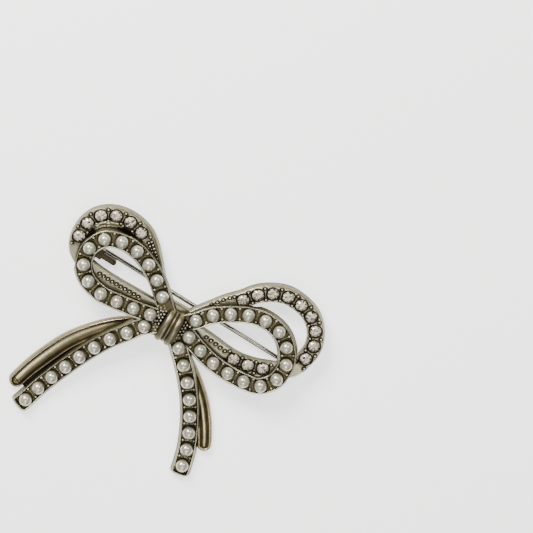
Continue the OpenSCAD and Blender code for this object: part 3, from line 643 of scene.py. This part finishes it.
# The tone of the rings goes darker at the foot of the end, as painted shade.
TAIL_END_RINGS = np.array([   # length ahead, half width, height and tone of each ring
    [1.12, 2.27, 0.015, 0.75], [1.06, 2.21, 0.22, 0.5], [0.89, 2.04, 0.8, 0.4], [0.74, 1.89, 1.35, 0.3],
    [0.68, 1.83, 1.53, 0.1], [0.62, 1.77, 1.59, 0.0], [0.48, 1.68, 1.59, 0.0], [0.40, 1.60, 1.54, 0.06],
    [0.36, 1.56, 1.16, 0.3], [0.12, 1.50, 1.12, 0.42], [0.06, 1.47, 1.0, 0.5]])


def tail_end(name, way):
    """Rings about the last station: cosine and sine to a power below 1, times each ring's two sizes."""
    angle = np.radians(np.linspace(-90, 90, 49))
    c, s = np.cos(angle), np.sin(angle)
    length, half, rise, tone = TAIL_END_RINGS.T[..., None]
    x = np.sign(c) * np.abs(c) ** ROUNDNESS * length
    y = np.sign(s) * np.abs(s) ** ROUNDNESS * half
    rings = np.stack([x, y, rise * np.ones_like(c)], -1)
    rows, columns = rings.shape[:2]
    shape = np.vstack([rings.reshape(-1, 3), [[0, 0, 0.98], [0.2, 0, 0.015]]])
    hollow = np.append(np.repeat(tone, columns), [0.66, 0.4])
    faces = [grid_faces(rows, columns), lids(rows, columns)]
    return add_copies(name, way.frames([way.length]), shape, faces, PEARL_METAL, hollow)


TAIL_ENDS = [tail_end("left_tail_end", left_tail), tail_end("right_tail_end", right_tail)]

# %% [markdown]
# ## Crystal ribbons
# The lower layer is a wider band. Its flat face carries the crystals, each in a round seat with a
# dark cut line round it, and outside and inside the face the metal slopes away as a plain polished
# shoulder, painted darker towards its foot as shade. Dots of metal stand in small dark pits, which are
# worked out as dips round each dot. On the left ribbon the inner edge is painted black as shade at two
# stretches, where the fold below turns away, and painted light, in bright stripes, along the stretch
# between them.

# %% Dots of metal on the crystal ribbons
DOT_R, DOT_SINK, HALF_PITCH = 0.23, 0.06, STONE_PITCH / 2
PAIR = (0.37 - FACE_HALF, FACE_HALF - 0.37)


def dots_of(way, stops, asides):
    """Centres of dots at the given stops and distances aside, in rows of x, y and z."""
    place, _, left, up = way.frames(stops)
    return np.concatenate([place + aside * left + RIBBON_T * up for aside in asides])


left_dots = np.concatenate([
    dots_of(left_crystals, np.append(left_stones - HALF_PITCH, left_stones[-1] + HALF_PITCH), PAIR),
    dots_of(left_crystals, left_stones[0] - 2.7 - 0.80 * np.arange(9), [-1.1, -0.4]),
    dots_of(left_crystals, left_crystals.length * 0.715 + 1.12 * np.arange(10), [0.50])])
right_dots = np.concatenate([
    dots_of(right_crystals, np.concatenate([right_stones, lower_stones]) - HALF_PITCH, PAIR),
    dots_of(right_crystals, [right_stones[-1] + HALF_PITCH, lower_stones[-1] + HALF_PITCH], PAIR),
    dots_of(right_crystals, right_stones[-1] + 2.75 + 1.4 * np.arange(4), [-1.25]),
    dots_of(right_crystals, lower_stones[0] - 2.7 - 1.3 * np.arange(5), [0.62])])
print("dots on the crystal ribbons:", len(left_dots), len(right_dots))

# %% Crystal ribbons
SHOULDER_ACROSS = np.array([1.0, 0.97, 0.86, 0.7, 0.5, 0.3, 0.14, 0.05])
OUTER_RISE = [0.0, 0.25, 0.52, 0.70, 0.84, 0.93, 0.975, 0.995]
INNER_RISE = [0.99, 0.965, 0.91, 0.8, 0.66, 0.48, 0.28, 0.0]
GROOVE_DEPTH, SEAT_DEPTH, PIT_DEPTH, EDGE_RISE = 0.16, 0.55, 0.16, 0.03


def stretch(run, start, end, soft):
    """1 between two distances walked, with a soft step about each."""
    return step_up(run, start - soft, start + soft) * (1 - step_up(run, end - soft, end + soft))


def crystal_ribbon(name, way, stones, dots, lift, dark=(), light=()):
    """Height over the width: shoulder, face with seats and pits, inner slope. All from distances."""
    face = np.linspace(-FACE_HALF, FACE_HALF, 37) * np.ones((len(way.run), 1))
    outer = -FACE_HALF - way.extra[:, 0:1] * SHOULDER * SHOULDER_ACROSS
    outer[:, 0] -= 0.1
    inner = FACE_HALF + way.extra[:, 1:2] * SHOULDER * SHOULDER_ACROSS[::-1]
    across = np.hstack([outer, face, inner])
    rise = np.concatenate([OUTER_RISE, np.ones(face.shape[1]), INNER_RISE])
    height = RIBBON_T * rise * np.ones_like(across)
    flat = swept(way, across, height)
    near, near_dot = nearness(flat, way.frames(stones)[0]), nearness(flat, dots)
    on_face = (np.abs(across) < FACE_HALF + 0.25) & (height > RIBBON_T * 0.9)
    groove, cup = hump(near, 1.49, 0.12), 1 - step_up(near, 1.30, 1.42)
    pit = hump(near_dot, 0.34, 0.19)
    edge = hump(np.abs(across), 1.52, 0.07) * (np.abs(across) <= FACE_HALF)
    dip = GROOVE_DEPTH * groove + SEAT_DEPTH * cup + PIT_DEPTH * pit - EDGE_RISE * edge
    height = np.minimum(height - on_face * dip, RIBBON_T)
    drop = RIBBON_T - height
    # Painted shade: the shoulder darkens down its slope, most at its foot.
    slope_tone = 0.38 + 0.14 * step_up(drop, 0.1, 0.9) + 0.3 * step_up(drop, 1.15, 1.5)
    face_tone = 0.27 + (0.9 * groove + 0.85 * cup + 0.62 * pit + 0.13 * hump(near, 1.95, 0.35) - 0.55 * edge)
    hollow = np.where(on_face, face_tone, slope_tone)
    # Painted shade: the black stretches of the inner edge. Painted light: the bright striped stretch.
    wedge = step_up(across, FACE_HALF - 0.32, FACE_HALF - 0.12)
    for start, end in dark:
        hollow = blend(hollow, 1.0, wedge * stretch(way.run, start, end, 0.2)[:, None])
    fold, waves = step_up(across, FACE_HALF + 0.05, FACE_HALF + 0.2), np.sin((across - FACE_HALF) * 5.5) ** 2
    for start, end in light:
        hollow = blend(hollow, 0.12 + 0.4 * waves, fold * stretch(way.run, start, end, 0.15)[:, None])
    foot = across[:, [-1, 0]] + [-0.03, 0.03]
    return add_ribbon(name, way, across, height, np.clip(hollow, 0, 1), foot, lift, CRYSTAL_METAL)


CRYSTAL_RIBBONS = [
    # The dark stretches are painted shade and the light stretch is painted light.
    crystal_ribbon("left_crystal_ribbon", left_crystals, left_stones, left_dots, 0.0,
                   dark=[(left_stones[0] - 0.6, left_stones[1] + 0.9),
                         (left_stones[3] + 2.4, left_stones[5] + 0.6)],
                   light=[(left_stones[1] + 1.05, left_stones[3] + 2.25)]),
    crystal_ribbon("right_crystal_ribbon", right_crystals, np.concatenate([right_stones, lower_stones]),
                   right_dots, 0.04)]

# %% [markdown]
# ## The fold inside the left loop
# Between the top crystals and the pearl loop the ribbon folds inwards and runs under the pearls. The
# fold is a narrow strip with four fine flutes along it, painted light in the middle and painted black
# as shade at both ends where it turns away. It is a grid along the same route, pushed inwards and
# stepped down by its flutes.

# %% Inner fold
def inner_fold(name, way, start, end, light_from, light_to):
    """Strip from the face's inner edge inwards; its height falls, and waves by a sine of four humps."""
    stops, share = np.linspace(start, end, 90), np.linspace(0, 1, 25)
    ends = np.sin(np.linspace(0, np.pi, len(stops)))[:, None] ** 0.35
    edge = FACE_HALF - 0.25
    across = blend(edge, edge + 2.75 * share, ends)
    wave = np.abs(np.sin(share * np.pi * 4))
    height = (1.48 - 0.26 * share + 0.09 * wave) * np.ones_like(across)
    place, _, left, up = (part[:, None, :] for part in way.frames(stops))
    top = place + across[..., None] * left + height[..., None] * up
    sections = np.hstack([top, top[:, [-1, 0]] - 0.35 * up])
    # Painted light along the lit stretch, painted black as shade beyond it.
    lit = stretch(stops, light_from, light_to, 0.15)[:, None]
    tone = blend(1.25, np.clip(0.66 - 0.62 * wave, 0, 1), lit)
    return add_swept(name, sections, CRYSTAL_METAL, np.hstack([tone, np.full((len(stops), 2), 0.8)]))


FOLD = inner_fold("left_inner_fold", left_crystals, left_stones[0] - 0.2, left_stones[5] + 0.4,
                  left_stones[2] - 1.3, left_stones[3] + 3.2)

# %% [markdown]
# ## Fluted tails
# Two plain tails hang behind the pearl tails. The left one is a broad trough between two round
# rims, the right one is three round flutes. Both are one section carried along the route, wider
# towards the tip, with a half turn of the same section closing the end. A thin sheet of painted shade,
# black on top, joins each one to the pearl tail beside it and fills the gap between them.

# %% Fluted tails
# Rows of a share across, from -1 to 1, and of the section's height there, or of its tone: oxide in
# the grooves, and painted shade on the side next to the pearl tail.
LEFT_FLUTE = [
    [-1, 0.45], [-0.93, 0.66], [-0.82, 0.86], [-0.72, 0.99], [-0.64, 0.96], [-0.55, 0.72], [-0.4, 0.58],
    [-0.1, 0.5], [0.3, 0.53], [0.55, 0.68], [0.72, 0.9], [0.85, 1], [0.95, 0.85], [1, 0.55]]
LEFT_TONES = [
    [-1, 0.40], [-0.8, 0.34], [-0.74, 0.02], [-0.66, 0.05], [-0.58, 0.85], [-0.5, 0.42], [-0.3, 0.20],
    [0.1, 0.24], [0.36, 0.5], [0.52, 0.95], [0.74, 0.8], [0.85, 0.25], [0.93, 0.6], [1, 0.8]]
RIGHT_FLUTE = [
    [-1, 0.5], [-0.93, 0.8], [-0.78, 0.98], [-0.58, 0.94], [-0.42, 0.64], [-0.3, 0.88], [-0.16, 1],
    [0.14, 1], [0.3, 0.88], [0.42, 0.64], [0.58, 0.94], [0.78, 0.98], [0.93, 0.8], [1, 0.5]]
RIGHT_TONES = [
    [-1, 0.55], [-0.85, 0.36], [-0.68, 0.2], [-0.5, 0.42], [-0.42, 0.66], [-0.32, 0.4], [-0.1, 0.3],
    [0.12, 0.26], [0.32, 0.4], [0.42, 0.66], [0.5, 0.42], [0.68, 0.22], [0.85, 0.26], [1, 0.36]]
SHADE_WEB_W = 1.3


def fluted_tail(name, way, flute, tones, side):
    """The section times the local width; its end turns half round; a sheet of painted shade reaches out to
    one side.
    """
    x = np.linspace(-1, 1, 61)
    z, dark = np.interp(x, *smooth(flute, 16).T), np.interp(x, *np.array(tones).T)
    half = way.extra * FLUTED_W / 2
    stations = np.ones_like(half)
    sections = swept(way, half * np.append(x, [1, -1]), stations * np.append(z, [0, 0]) * FLUTED_T)
    body = add_swept(name, sections, TAIL_METAL, stations * np.append(dark, [0.6, 0.6]))

    share, angle = np.linspace(0, 1, 31), np.radians(np.linspace(-90, 90, 41))[:, None]
    to_left = step_up(np.sin(angle), -1, 1)
    rise, tone = (blend(np.interp(-share, x, values), np.interp(share, x, values), to_left)
                  for values in (z, dark))
    rise = np.hstack([rise * FLUTED_T, np.zeros((len(angle), 2))])
    tone = np.hstack([tone, np.tile([0.7, 0.4], (len(angle), 1))])
    radius = half[-1, 0] * np.append(share, [1.0, 0.0])
    turned = np.stack([np.cos(angle) * radius, np.sin(angle) * radius, rise], -1)
    tip = add_copies(name + "_end", way.frames([way.length]), turned.reshape(-1, 3),
                     [grid_faces(*rise.shape, False, True)], TAIL_METAL, tone, weld=True)

    # A sheet of painted shade: black on top, it fills the gap to the pearl tail.
    inner, outer = half * side * 0.96, (half + SHADE_WEB_W) * side
    sections = swept(way, np.hstack([inner, outer, outer, inner]), stations * [0.5, 0.46, 0.03, 0.03])
    shade_web = add_swept(name + "_web", sections, TAIL_METAL, stations * [1.0, 1.0, 0.45, 0.45],
                    clockwise=side > 0, smooth_faces=False)
    return [body, tip, shade_web]


FLUTED_TAILS = (fluted_tail("left_fluted_tail", left_fluted, LEFT_FLUTE, LEFT_TONES, 1)
                + fluted_tail("right_fluted_tail", right_fluted, RIGHT_FLUTE, RIGHT_TONES, -1))

# %% [markdown]
# ## The knot
# Two thick folds of ribbon with a thin fold between them are wrapped over the crossing. The surface
# is an arch: across it runs the profile of the folds, and along it the arch rises and comes down
# again, fuller than a half circle so that its sides stand steep.

# %% Knot
KNOT_W, KNOT_LEN, KNOT_RISE, KNOT_DROP, FOLD_DEPTH = 4.0, 8.4, 3.6, 0.5, 0.75
KNOT_FOLDS = [[-0.5, 0], [-0.485, 0.3], [-0.44, 0.66], [-0.37, 0.9], [-0.28, 1], [-0.2, 0.93], [-0.14, 0.68],
              [-0.105, 0.3], [-0.08, 0.42], [-0.04, 0.62], [0, 0.64], [0.04, 0.55], [0.08, 0.3], [0.12, 0.32],
              [0.15, 0.7], [0.21, 0.94], [0.29, 1], [0.38, 0.9], [0.45, 0.66], [0.49, 0.3], [0.5, 0]]


def knot():
    """Across: the folds. Along: y goes as the cosine and z as the sine to the 0.8. Lows are darker."""
    share, fold = smooth(KNOT_FOLDS, 6).T[..., None]
    angle = np.radians(np.linspace(0, 180, 91))
    lift = FOLD_DEPTH * (fold - 1)
    y = -KNOT_DROP - (KNOT_LEN / 2 + lift) * np.cos(angle)
    z = FRONT_BASE + (KNOT_RISE + lift) * np.sin(angle) ** 0.8
    x = share * KNOT_W * np.ones_like(y)
    around = np.convolve(np.pad(fold[:, 0], 10, mode="edge"), np.ones(21) / 21, mode="valid")[:, None]
    tone = np.clip(0.30 + (around - fold) * 1.35, 0, 1) + 0.5 * (1 - np.sin(angle)) ** 2
    return add_swept("knot", np.stack([x, y, z], -1), KNOT_METAL, np.clip(tone, 0, 1))


KNOT_PIECE = knot()

# %% [markdown]
# ## Collars
# Round the knot the ribbons run together on a flat: one in each layer. The upper one is almost
# covered by rows of grain beads and is the darkest place on the brooch. The lower one is sunk by
# a hair's breadth, so that its underside and those of the ribbons don't lie in one plane.

# %% Collars
# How far each ring shrinks, and its share of the thickness.
COLLAR_RINGS = np.array([[0, 0], [0, 0.85], [0.04, 0.96], [0.12, 1], [0.6, 1], [1.25, 1]])


def collar(name, base, thickness, high, tone):
    """A rounded rectangle with a soft upper edge, as rings that shrink towards the middle."""
    half_x, low, corner = KNOT_W / 2 + 0.45, -KNOT_LEN * 0.26, 1.3
    angle = np.radians(np.arange(0, 360, 6))
    c, s = np.cos(angle), np.sin(angle)
    shrink, level = COLLAR_RINGS.T[..., None]
    x = np.where(c >= 0, half_x, -half_x) + (corner - shrink) * c
    y = np.where(s >= 0, high, low) + (corner - shrink) * s
    rings = np.stack([x, y, (base + thickness * level) * np.ones_like(c)], -1)
    rows, columns = rings.shape[:2]
    middle = [[0, (low + high) / 2, base + thickness], [0, (low + high) / 2, base]]
    hollow = np.repeat([0.3, tone, 0.4], [3 * columns, 3 * columns + 1, 1])
    faces = [grid_faces(rows, columns), lids(rows, columns)]
    return add_object(name, np.vstack([rings.reshape(-1, 3), middle]), faces, PEARL_METAL, hollow)


COLLARS = [collar("upper_collar", FRONT_BASE, CHANNEL_FLOOR - 0.05, KNOT_LEN * 0.24, 0.95),
           collar("lower_collar", BACK_BASE - 0.04, RIBBON_T - 0.01, KNOT_LEN * 0.42, 0.25)]

# %% [markdown]
# ## Grains and bars
# Between two pearls stands a thin bar with a round grain at each end. Grains are little domes, all
# alike, so one dome of a few dozen faces is repeated by arrays: every copy is one place, one set of
# directions and one size. The same dome, finer and cut lower, is used for the pearls.

# %% A dome, repeated
def dome(lowest, rings, sides):
    """A ball cut flat at a lowest angle: rings of cosine and sine, a pole and a middle below."""
    level = np.linspace(lowest, math.pi / 2, rings + 1)[:-1, None]
    turn = np.radians(np.arange(sides) * 360 / sides)
    ball = np.stack([np.cos(level) * np.cos(turn), np.cos(level) * np.sin(turn),
                     np.sin(level) * np.ones(sides)], -1)
    points = np.vstack([ball.reshape(-1, 3), [[0, 0, 1], [0, 0, math.sin(lowest)]]])
    return points, [grid_faces(rings, sides), lids(rings, sides)]


def grains(name, places, radius, rise, brightest=0.0):
    """Copies of a small dome at all places at once, each upright and pressed to its rise."""
    points, faces = dome(math.radians(-20), 4, 10)
    upright = [np.broadcast_to(axis, places.shape) for axis in np.eye(3)]
    hollow = np.clip(0.75 - points[:, 2] * 1.3, brightest, 0.8)
    return add_copies(name, [places, *upright], points * [radius, radius, rise], faces, GRAIN_METAL, hollow)


def channel_bars(name, way, stops):
    """A bar across the channel between two pearls: half a round rod on the floor, wider at its ends."""
    along, angle = np.linspace(-1, 1, 9)[:, None], np.radians(np.linspace(0, 180, 7))
    x = 0.11 * np.cos(angle) * (1 + 0.5 * along ** 2)
    y = along * (CHANNEL_HALF + 0.02) * np.ones_like(angle)
    z = CHANNEL_FLOOR - 0.02 + 0.27 * np.sin(angle) * np.ones_like(along)
    faces = [part[:, ::-1] for part in (grid_faces(*x.shape), end_caps(*x.shape))]
    hollow = np.clip(0.62 - 0.5 * np.sin(angle), 0, 1) * np.ones_like(along)
    return add_copies(name, way.frames(halfway(stops)), np.stack([x, y, z], -1).reshape(-1, 3), faces,
                      PEARL_METAL, hollow)


channel_places = np.concatenate([channel_grains(*v) for v in PEARL_STOPS.values()])
GRAIN_PIECES = [grains("channel_grains", channel_places, radius=0.30, rise=0.40)]
BAR_PIECES = [channel_bars("bars_" + k, *v) for k, v in PEARL_STOPS.items()]

# %% [markdown]
# ## Fields of grains
# Where the ribbons cross, their channels are filled with a field of small grains that stop short of
# the pearls. It is a grid of places with every other row shifted and a little chance in each, and a
# few tests by distance keep those that lie on the metal. Two straight rows stand beside the knot.

# %% Grains by the knot and on the crystal ribbons
GRAIN_FLOOR = FRONT_BASE + CHANNEL_FLOOR
pearl_places = np.concatenate([way.frames(stops)[0] for way, stops in PEARL_STOPS.values()])


def beside_knot(aside, shift):
    """A row of places on both sides of the knot, those clear of the pearls."""
    row = np.array([[side * (KNOT_W / 2 + aside), y + shift, GRAIN_FLOOR]
                    for side in (-1, 1) for y in np.arange(-2.8, 2.81, 0.82)])
    return row[nearness(row, pearl_places) > 1.66]


grid_x, grid_y = np.meshgrid(np.arange(-8, 8.1, 0.74), np.arange(-6, 6.1, 0.64))
grid_x = grid_x + 0.37 * (np.arange(len(grid_x)) % 2)[:, None]
field = np.column_stack([grid_x.ravel(), grid_y.ravel()])
field = field + np.random.default_rng(11).uniform(-0.05, 0.05, field.shape)
nearest, second = np.sort([from_ways(field, [way]) for way in PEARL_WAYS], axis=0)[:2]
aside = np.abs(field[:, 0])
keep = ((nearest < 1.5) & ((second < 1.9) | (aside < 4.9)) & (nearness(field, pearl_places) > 1.78)
        & (aside > KNOT_W / 2 + 1.5) & (np.hypot(field[:, 0], field[:, 1]) < 9))
field_grains = np.column_stack([field[keep], np.full(keep.sum(), GRAIN_FLOOR - 0.05)])
GRAIN_PIECES += [grains("crossing_grains", field_grains, radius=0.26, rise=0.42),
                 grains("knot_grains", beside_knot(0.50, 0.0), radius=0.26, rise=0.40),
                 grains("fine_knot_grains", beside_knot(1.12, 0.41), radius=0.25, rise=0.38)]
for name, dots in (("left_ribbon_dots", left_dots), ("right_ribbon_dots", right_dots)):
    in_sight = from_ways(dots, PEARL_WAYS, 4) >= RIBBON_HALF
    GRAIN_PIECES.append(grains(name, dots[in_sight] - [0, 0, DOT_SINK], DOT_R, rise=0.30, brightest=0.04))

# %% [markdown]
# ## Pearls
# The pearls are resin domes with a nacre coat: creamy white, a soft sheen, a clear lacquer on top,
# and never perfectly even. Each is a sphere with a flat back, and the cloudiness comes from noise
# at the scale of a fraction of a millimetre. Towards its foot a pearl is painted darker, as painted
# shade and a painted reflection of the dark metal round it, and each pearl has a faint tint of its own.

# %% Pearl material
def nacre(name):
    """Cream base that turns greyer by noise and darker towards the foot as painted shade and reflection,
    under a clear coat.
    """
    material, tree = new_material(name)
    cloud, fine = noise(tree, 700.0), noise(tree, 3200.0)
    cream = colour_mix(tree, ((cloud - 0.40) * 2.2).clamped(), (0.80, 0.755, 0.575), (0.38, 0.365, 0.27))
    own_tint = colour_mix(tree, carried(tree, "tint"), (0.68, 0.56, 0.50), (0.52, 0.58, 0.46))
    body = colour_mix(tree, 0.35, cream, own_tint)
    colour = colour_mix(tree, carried(tree, "hollow"), body, (0.085, 0.075, 0.045))
    return shaded(material, Base_Color=colour, Roughness=(0.21 + (fine - 0.5) * 0.14).clamped(),
                  Normal=bump(tree, cloud, 0.22, 0.00005), Metallic=0.48, Coat_Weight=0.6,
                  Coat_Roughness=0.12, Specular_IOR_Level=0.7)


NACRE = nacre("pearl_nacre")

# %% Pearls
def pearl_string(name, way, stops):
    """Fine domes with a flat back, one for each stop, turned to the ribbon's frame there."""
    points, faces = dome(-math.asin(PEARL_BACK / PEARL_R), 24, 48)
    place, ahead, left, up = way.frames(stops)
    centre = place + (CHANNEL_FLOOR + 0.06 + PEARL_BACK) * up
    # Painted shade and reflection: darker towards the pearl's foot.
    hollow = 0.92 * (1 - np.clip(points[:, 2], 0, 1)) ** 0.72
    tint = 0.5 + 0.5 * np.sin(np.arange(len(stops)) * 2.4)
    return add_copies(name, (centre, ahead, left, up), points * PEARL_R, faces, NACRE, hollow,
                      tint=np.repeat(tint, len(points)))


PEARL_PIECES = {k: pearl_string("pearls_" + k, *v) for k, v in PEARL_STOPS.items()}

# %% [markdown]
# ## Crystals
# Each crystal is a small round brilliant with foil on its back, so it throws light back like a
# mirror broken into facets. The cut is an eight-sided table, eight star facets, eight kites and
# sixteen girdle facets. Every facet is flat, and its glint off the foil is painted into its colour:
# each facet gets its own tint, from near black to near white, under a clear, hard coat.

# %% Crystal material
def foiled_crystal(name):
    """Pale rose glass over foil: the tint of each facet is a painted glint that sets how bright it is."""
    material, tree = new_material(name)
    share = (carried(tree, "tint") + (noise(tree, 900.0, 1.0) - 0.5) * 0.3).clamped()
    colour = colour_mix(tree, share, (0.04, 0.022, 0.008), (1.0, 0.915, 0.73))
    return shaded(material, Base_Color=colour, Roughness=0.05, Metallic=0.12, Coat_Weight=1.0,
                  Coat_Roughness=0.02)


CRYSTAL = foiled_crystal("foiled_crystal")

# %% Crystals
CROWN, CULET, TABLE_R, STAR_R = 0.513, 0.81, 0.74, 1.02
# The brightness of each kind of facet, as painted glint.
FACET_PAINTED_GLINTS = np.repeat([0.85, 0.95, 0.45, 0.4, 0.75, 1.0, 0.35, 0.2], [16, 8, 8, 8, 8, 8, 8, 16])


def circle(count, radius, z, shift=0.0):
    """Points on a level circle, shifted by a share of the step between them."""
    a = 2 * np.pi * (np.arange(count) + shift) / count
    return np.column_stack([radius * np.cos(a), radius * np.sin(a), np.full(count, z)])


def brilliant():
    """Facets as rows of three points: 8 of the table's rim, the star points and 16 of the girdle."""
    k, j = np.arange(8), np.arange(16)
    table, star = circle(8, TABLE_R, CROWN), circle(8, STAR_R, CROWN * 0.62, 0.5)
    girdle, after = circle(16, STONE_R, 0.0), np.roll(table, -1, axis=0)
    middle, heart = (table + after) / 2, np.tile([0, 0, CROWN], (8, 1))
    facets = [(table, star, middle), (middle, star, after), (table, star[k - 1], girdle[2 * k]),
              (table, girdle[2 * k], star), (star, girdle[2 * k], girdle[2 * k + 1]),
              (star, girdle[2 * k + 1], girdle[(2 * k + 2) % 16]),
              (table, middle, heart), (middle, after, heart),
              (girdle[(j + 1) % 16], girdle[j], np.tile([0, 0, -CULET], (16, 1)))]
    return np.concatenate([np.stack(corners, 1) for corners in facets])


def cut_crystals(name, way, stops, seed):
    """One brilliant for each stop, spun by chance, each of its facets with its own painted glint."""
    facets, count, rng = brilliant(), len(stops), np.random.default_rng(seed)
    # Painted glints: by chance a third of the facets are painted dark.
    glint = rng.choice([1.0, 1.0, 0.12], (count, len(facets)))
    tint = np.clip(FACET_PAINTED_GLINTS * glint + rng.uniform(-0.1, 0.15, glint.shape), 0, 1)
    spin = rng.uniform(0, np.pi / 4, count)[:, None, None]
    x, y, z = np.moveaxis(facets, -1, 0)
    c, s = np.cos(spin), np.sin(spin)
    shape = np.stack([x * c - y * s, x * s + y * c, z * np.ones_like(c)], -1).reshape(count, -1, 3)
    place, ahead, left, up = way.frames(stops)
    centre = place + (RIBBON_T - 0.02 - CROWN) * up
    return add_copies(name, (centre, ahead, left, up), shape, [np.arange(facets.size // 3).reshape(-1, 3)],
                      CRYSTAL, tint=np.repeat(tint, 3), smooth_faces=False)


CRYSTAL_PIECES = {
    "left": cut_crystals("left_crystals", left_crystals, left_stones, 3),
    "right": cut_crystals("right_crystals", right_crystals, right_stones, 5),
    "lower": cut_crystals("lower_crystals", right_crystals, lower_stones, 7)}

# %% [markdown]
# ## Pin, hinge and catch
# These are the CAD solids themselves, because their shapes are already true. The wire is bright
# drawn steel, smooth and faintly cloudy, and the catch and the hinge are painted dark, as painted
# shade for their place under the bow.

# %% Findings
def finding_metal(name, low, high, rough, fine_scale, depth):
    """Plain metal, cloudy at the scale of a millimetre, with fine marks of a given depth."""
    material, tree = new_material(name)
    cloud, fine = noise(tree, 600.0, 3.0, 0.6), noise(tree, fine_scale)
    colour = colour_mix(tree, ((cloud - 0.3) * 1.8).clamped(), low, high)
    return shaded(material, Base_Color=colour, Roughness=((fine - 0.5) * 0.12 + rough).clamped(),
                  Metallic=0.95, Normal=bump(tree, fine, depth, 0.00002))


WIRE = finding_metal("drawn_wire", (0.15, 0.14, 0.11), (0.24, 0.225, 0.185),
                     rough=0.17, fine_scale=900.0, depth=0.0)
# Painted shade: the catch and the hinge lie under the bow and get a near-black colour.
SHADE_PAINTED_METAL = finding_metal("shade_painted_findings", (0.018, 0.013, 0.007), (0.07, 0.055, 0.032),
                         rough=0.34, fine_scale=4000.0, depth=0.15)
for node_name, metal in (("pin_stem", WIRE), ("hinge", SHADE_PAINTED_METAL), ("catch", SHADE_PAINTED_METAL)):
    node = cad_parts[node_name]
    node.data.materials.clear()
    node.data.materials.append(metal)
    print(node_name, "keeps its CAD shape")

# %% [markdown]
# ## Riding on the frame
# Every new piece rides on the brooch's body and stands for the CAD nodes that it covers.

# %% Ride and replace
upper = PEARL_RIBBONS + TAIL_ENDS + [KNOT_PIECE] + COLLARS[:1] + GRAIN_PIECES[:4] + BAR_PIECES
lower = CRYSTAL_RIBBONS + [FOLD] + FLUTED_TAILS + COLLARS[1:] + GRAIN_PIECES[4:]
for piece in upper + lower + list(PEARL_PIECES.values()) + list(CRYSTAL_PIECES.values()):
    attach(piece, "bow")
for piece in upper:
    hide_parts("pearl_bow")
for piece in lower:
    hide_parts("crystal_bow")
for key, piece in PEARL_PIECES.items():
    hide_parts(key + "_pearls")
for key, count in (("left", 6), ("right", 9), ("lower", 3)):
    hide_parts(*[f"{key}_crystal_{k}" for k in range(1, count + 1)])
print("pieces that ride:", len(upper) + len(lower) + len(PEARL_PIECES) + len(CRYSTAL_PIECES))

# %% [markdown]
# ## The table top
# A plain white sheet that runs out of the picture, so the brooch casts only a soft shadow.

# %% Floor
floor_mesh = bpy.data.meshes.new("floor")
floor_mesh.from_pydata([(-3, -3, 0), (3, -3, 0), (3, 3, 0), (-3, 3, 0)], [], [(0, 1, 2, 3)])
floor_mesh.materials.append(shaded(
    new_material("white_table")[0], Base_Color=(0.93, 0.93, 0.93), Roughness=0.9,
    Emission_Color=(1.0, 1.0, 1.0), Emission_Strength=1.6, Specular_IOR_Level=0.1))
put_in_scene("floor", floor_mesh)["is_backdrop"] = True

# %% Write the sizes and finish
new_low, new_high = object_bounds()
new_low, new_high = [float(v) for v in new_low], [float(v) for v in new_high]
print("visual box in mm:", [round(v * 1000, 2) for v in new_low], [round(v * 1000, 2) for v in new_high])
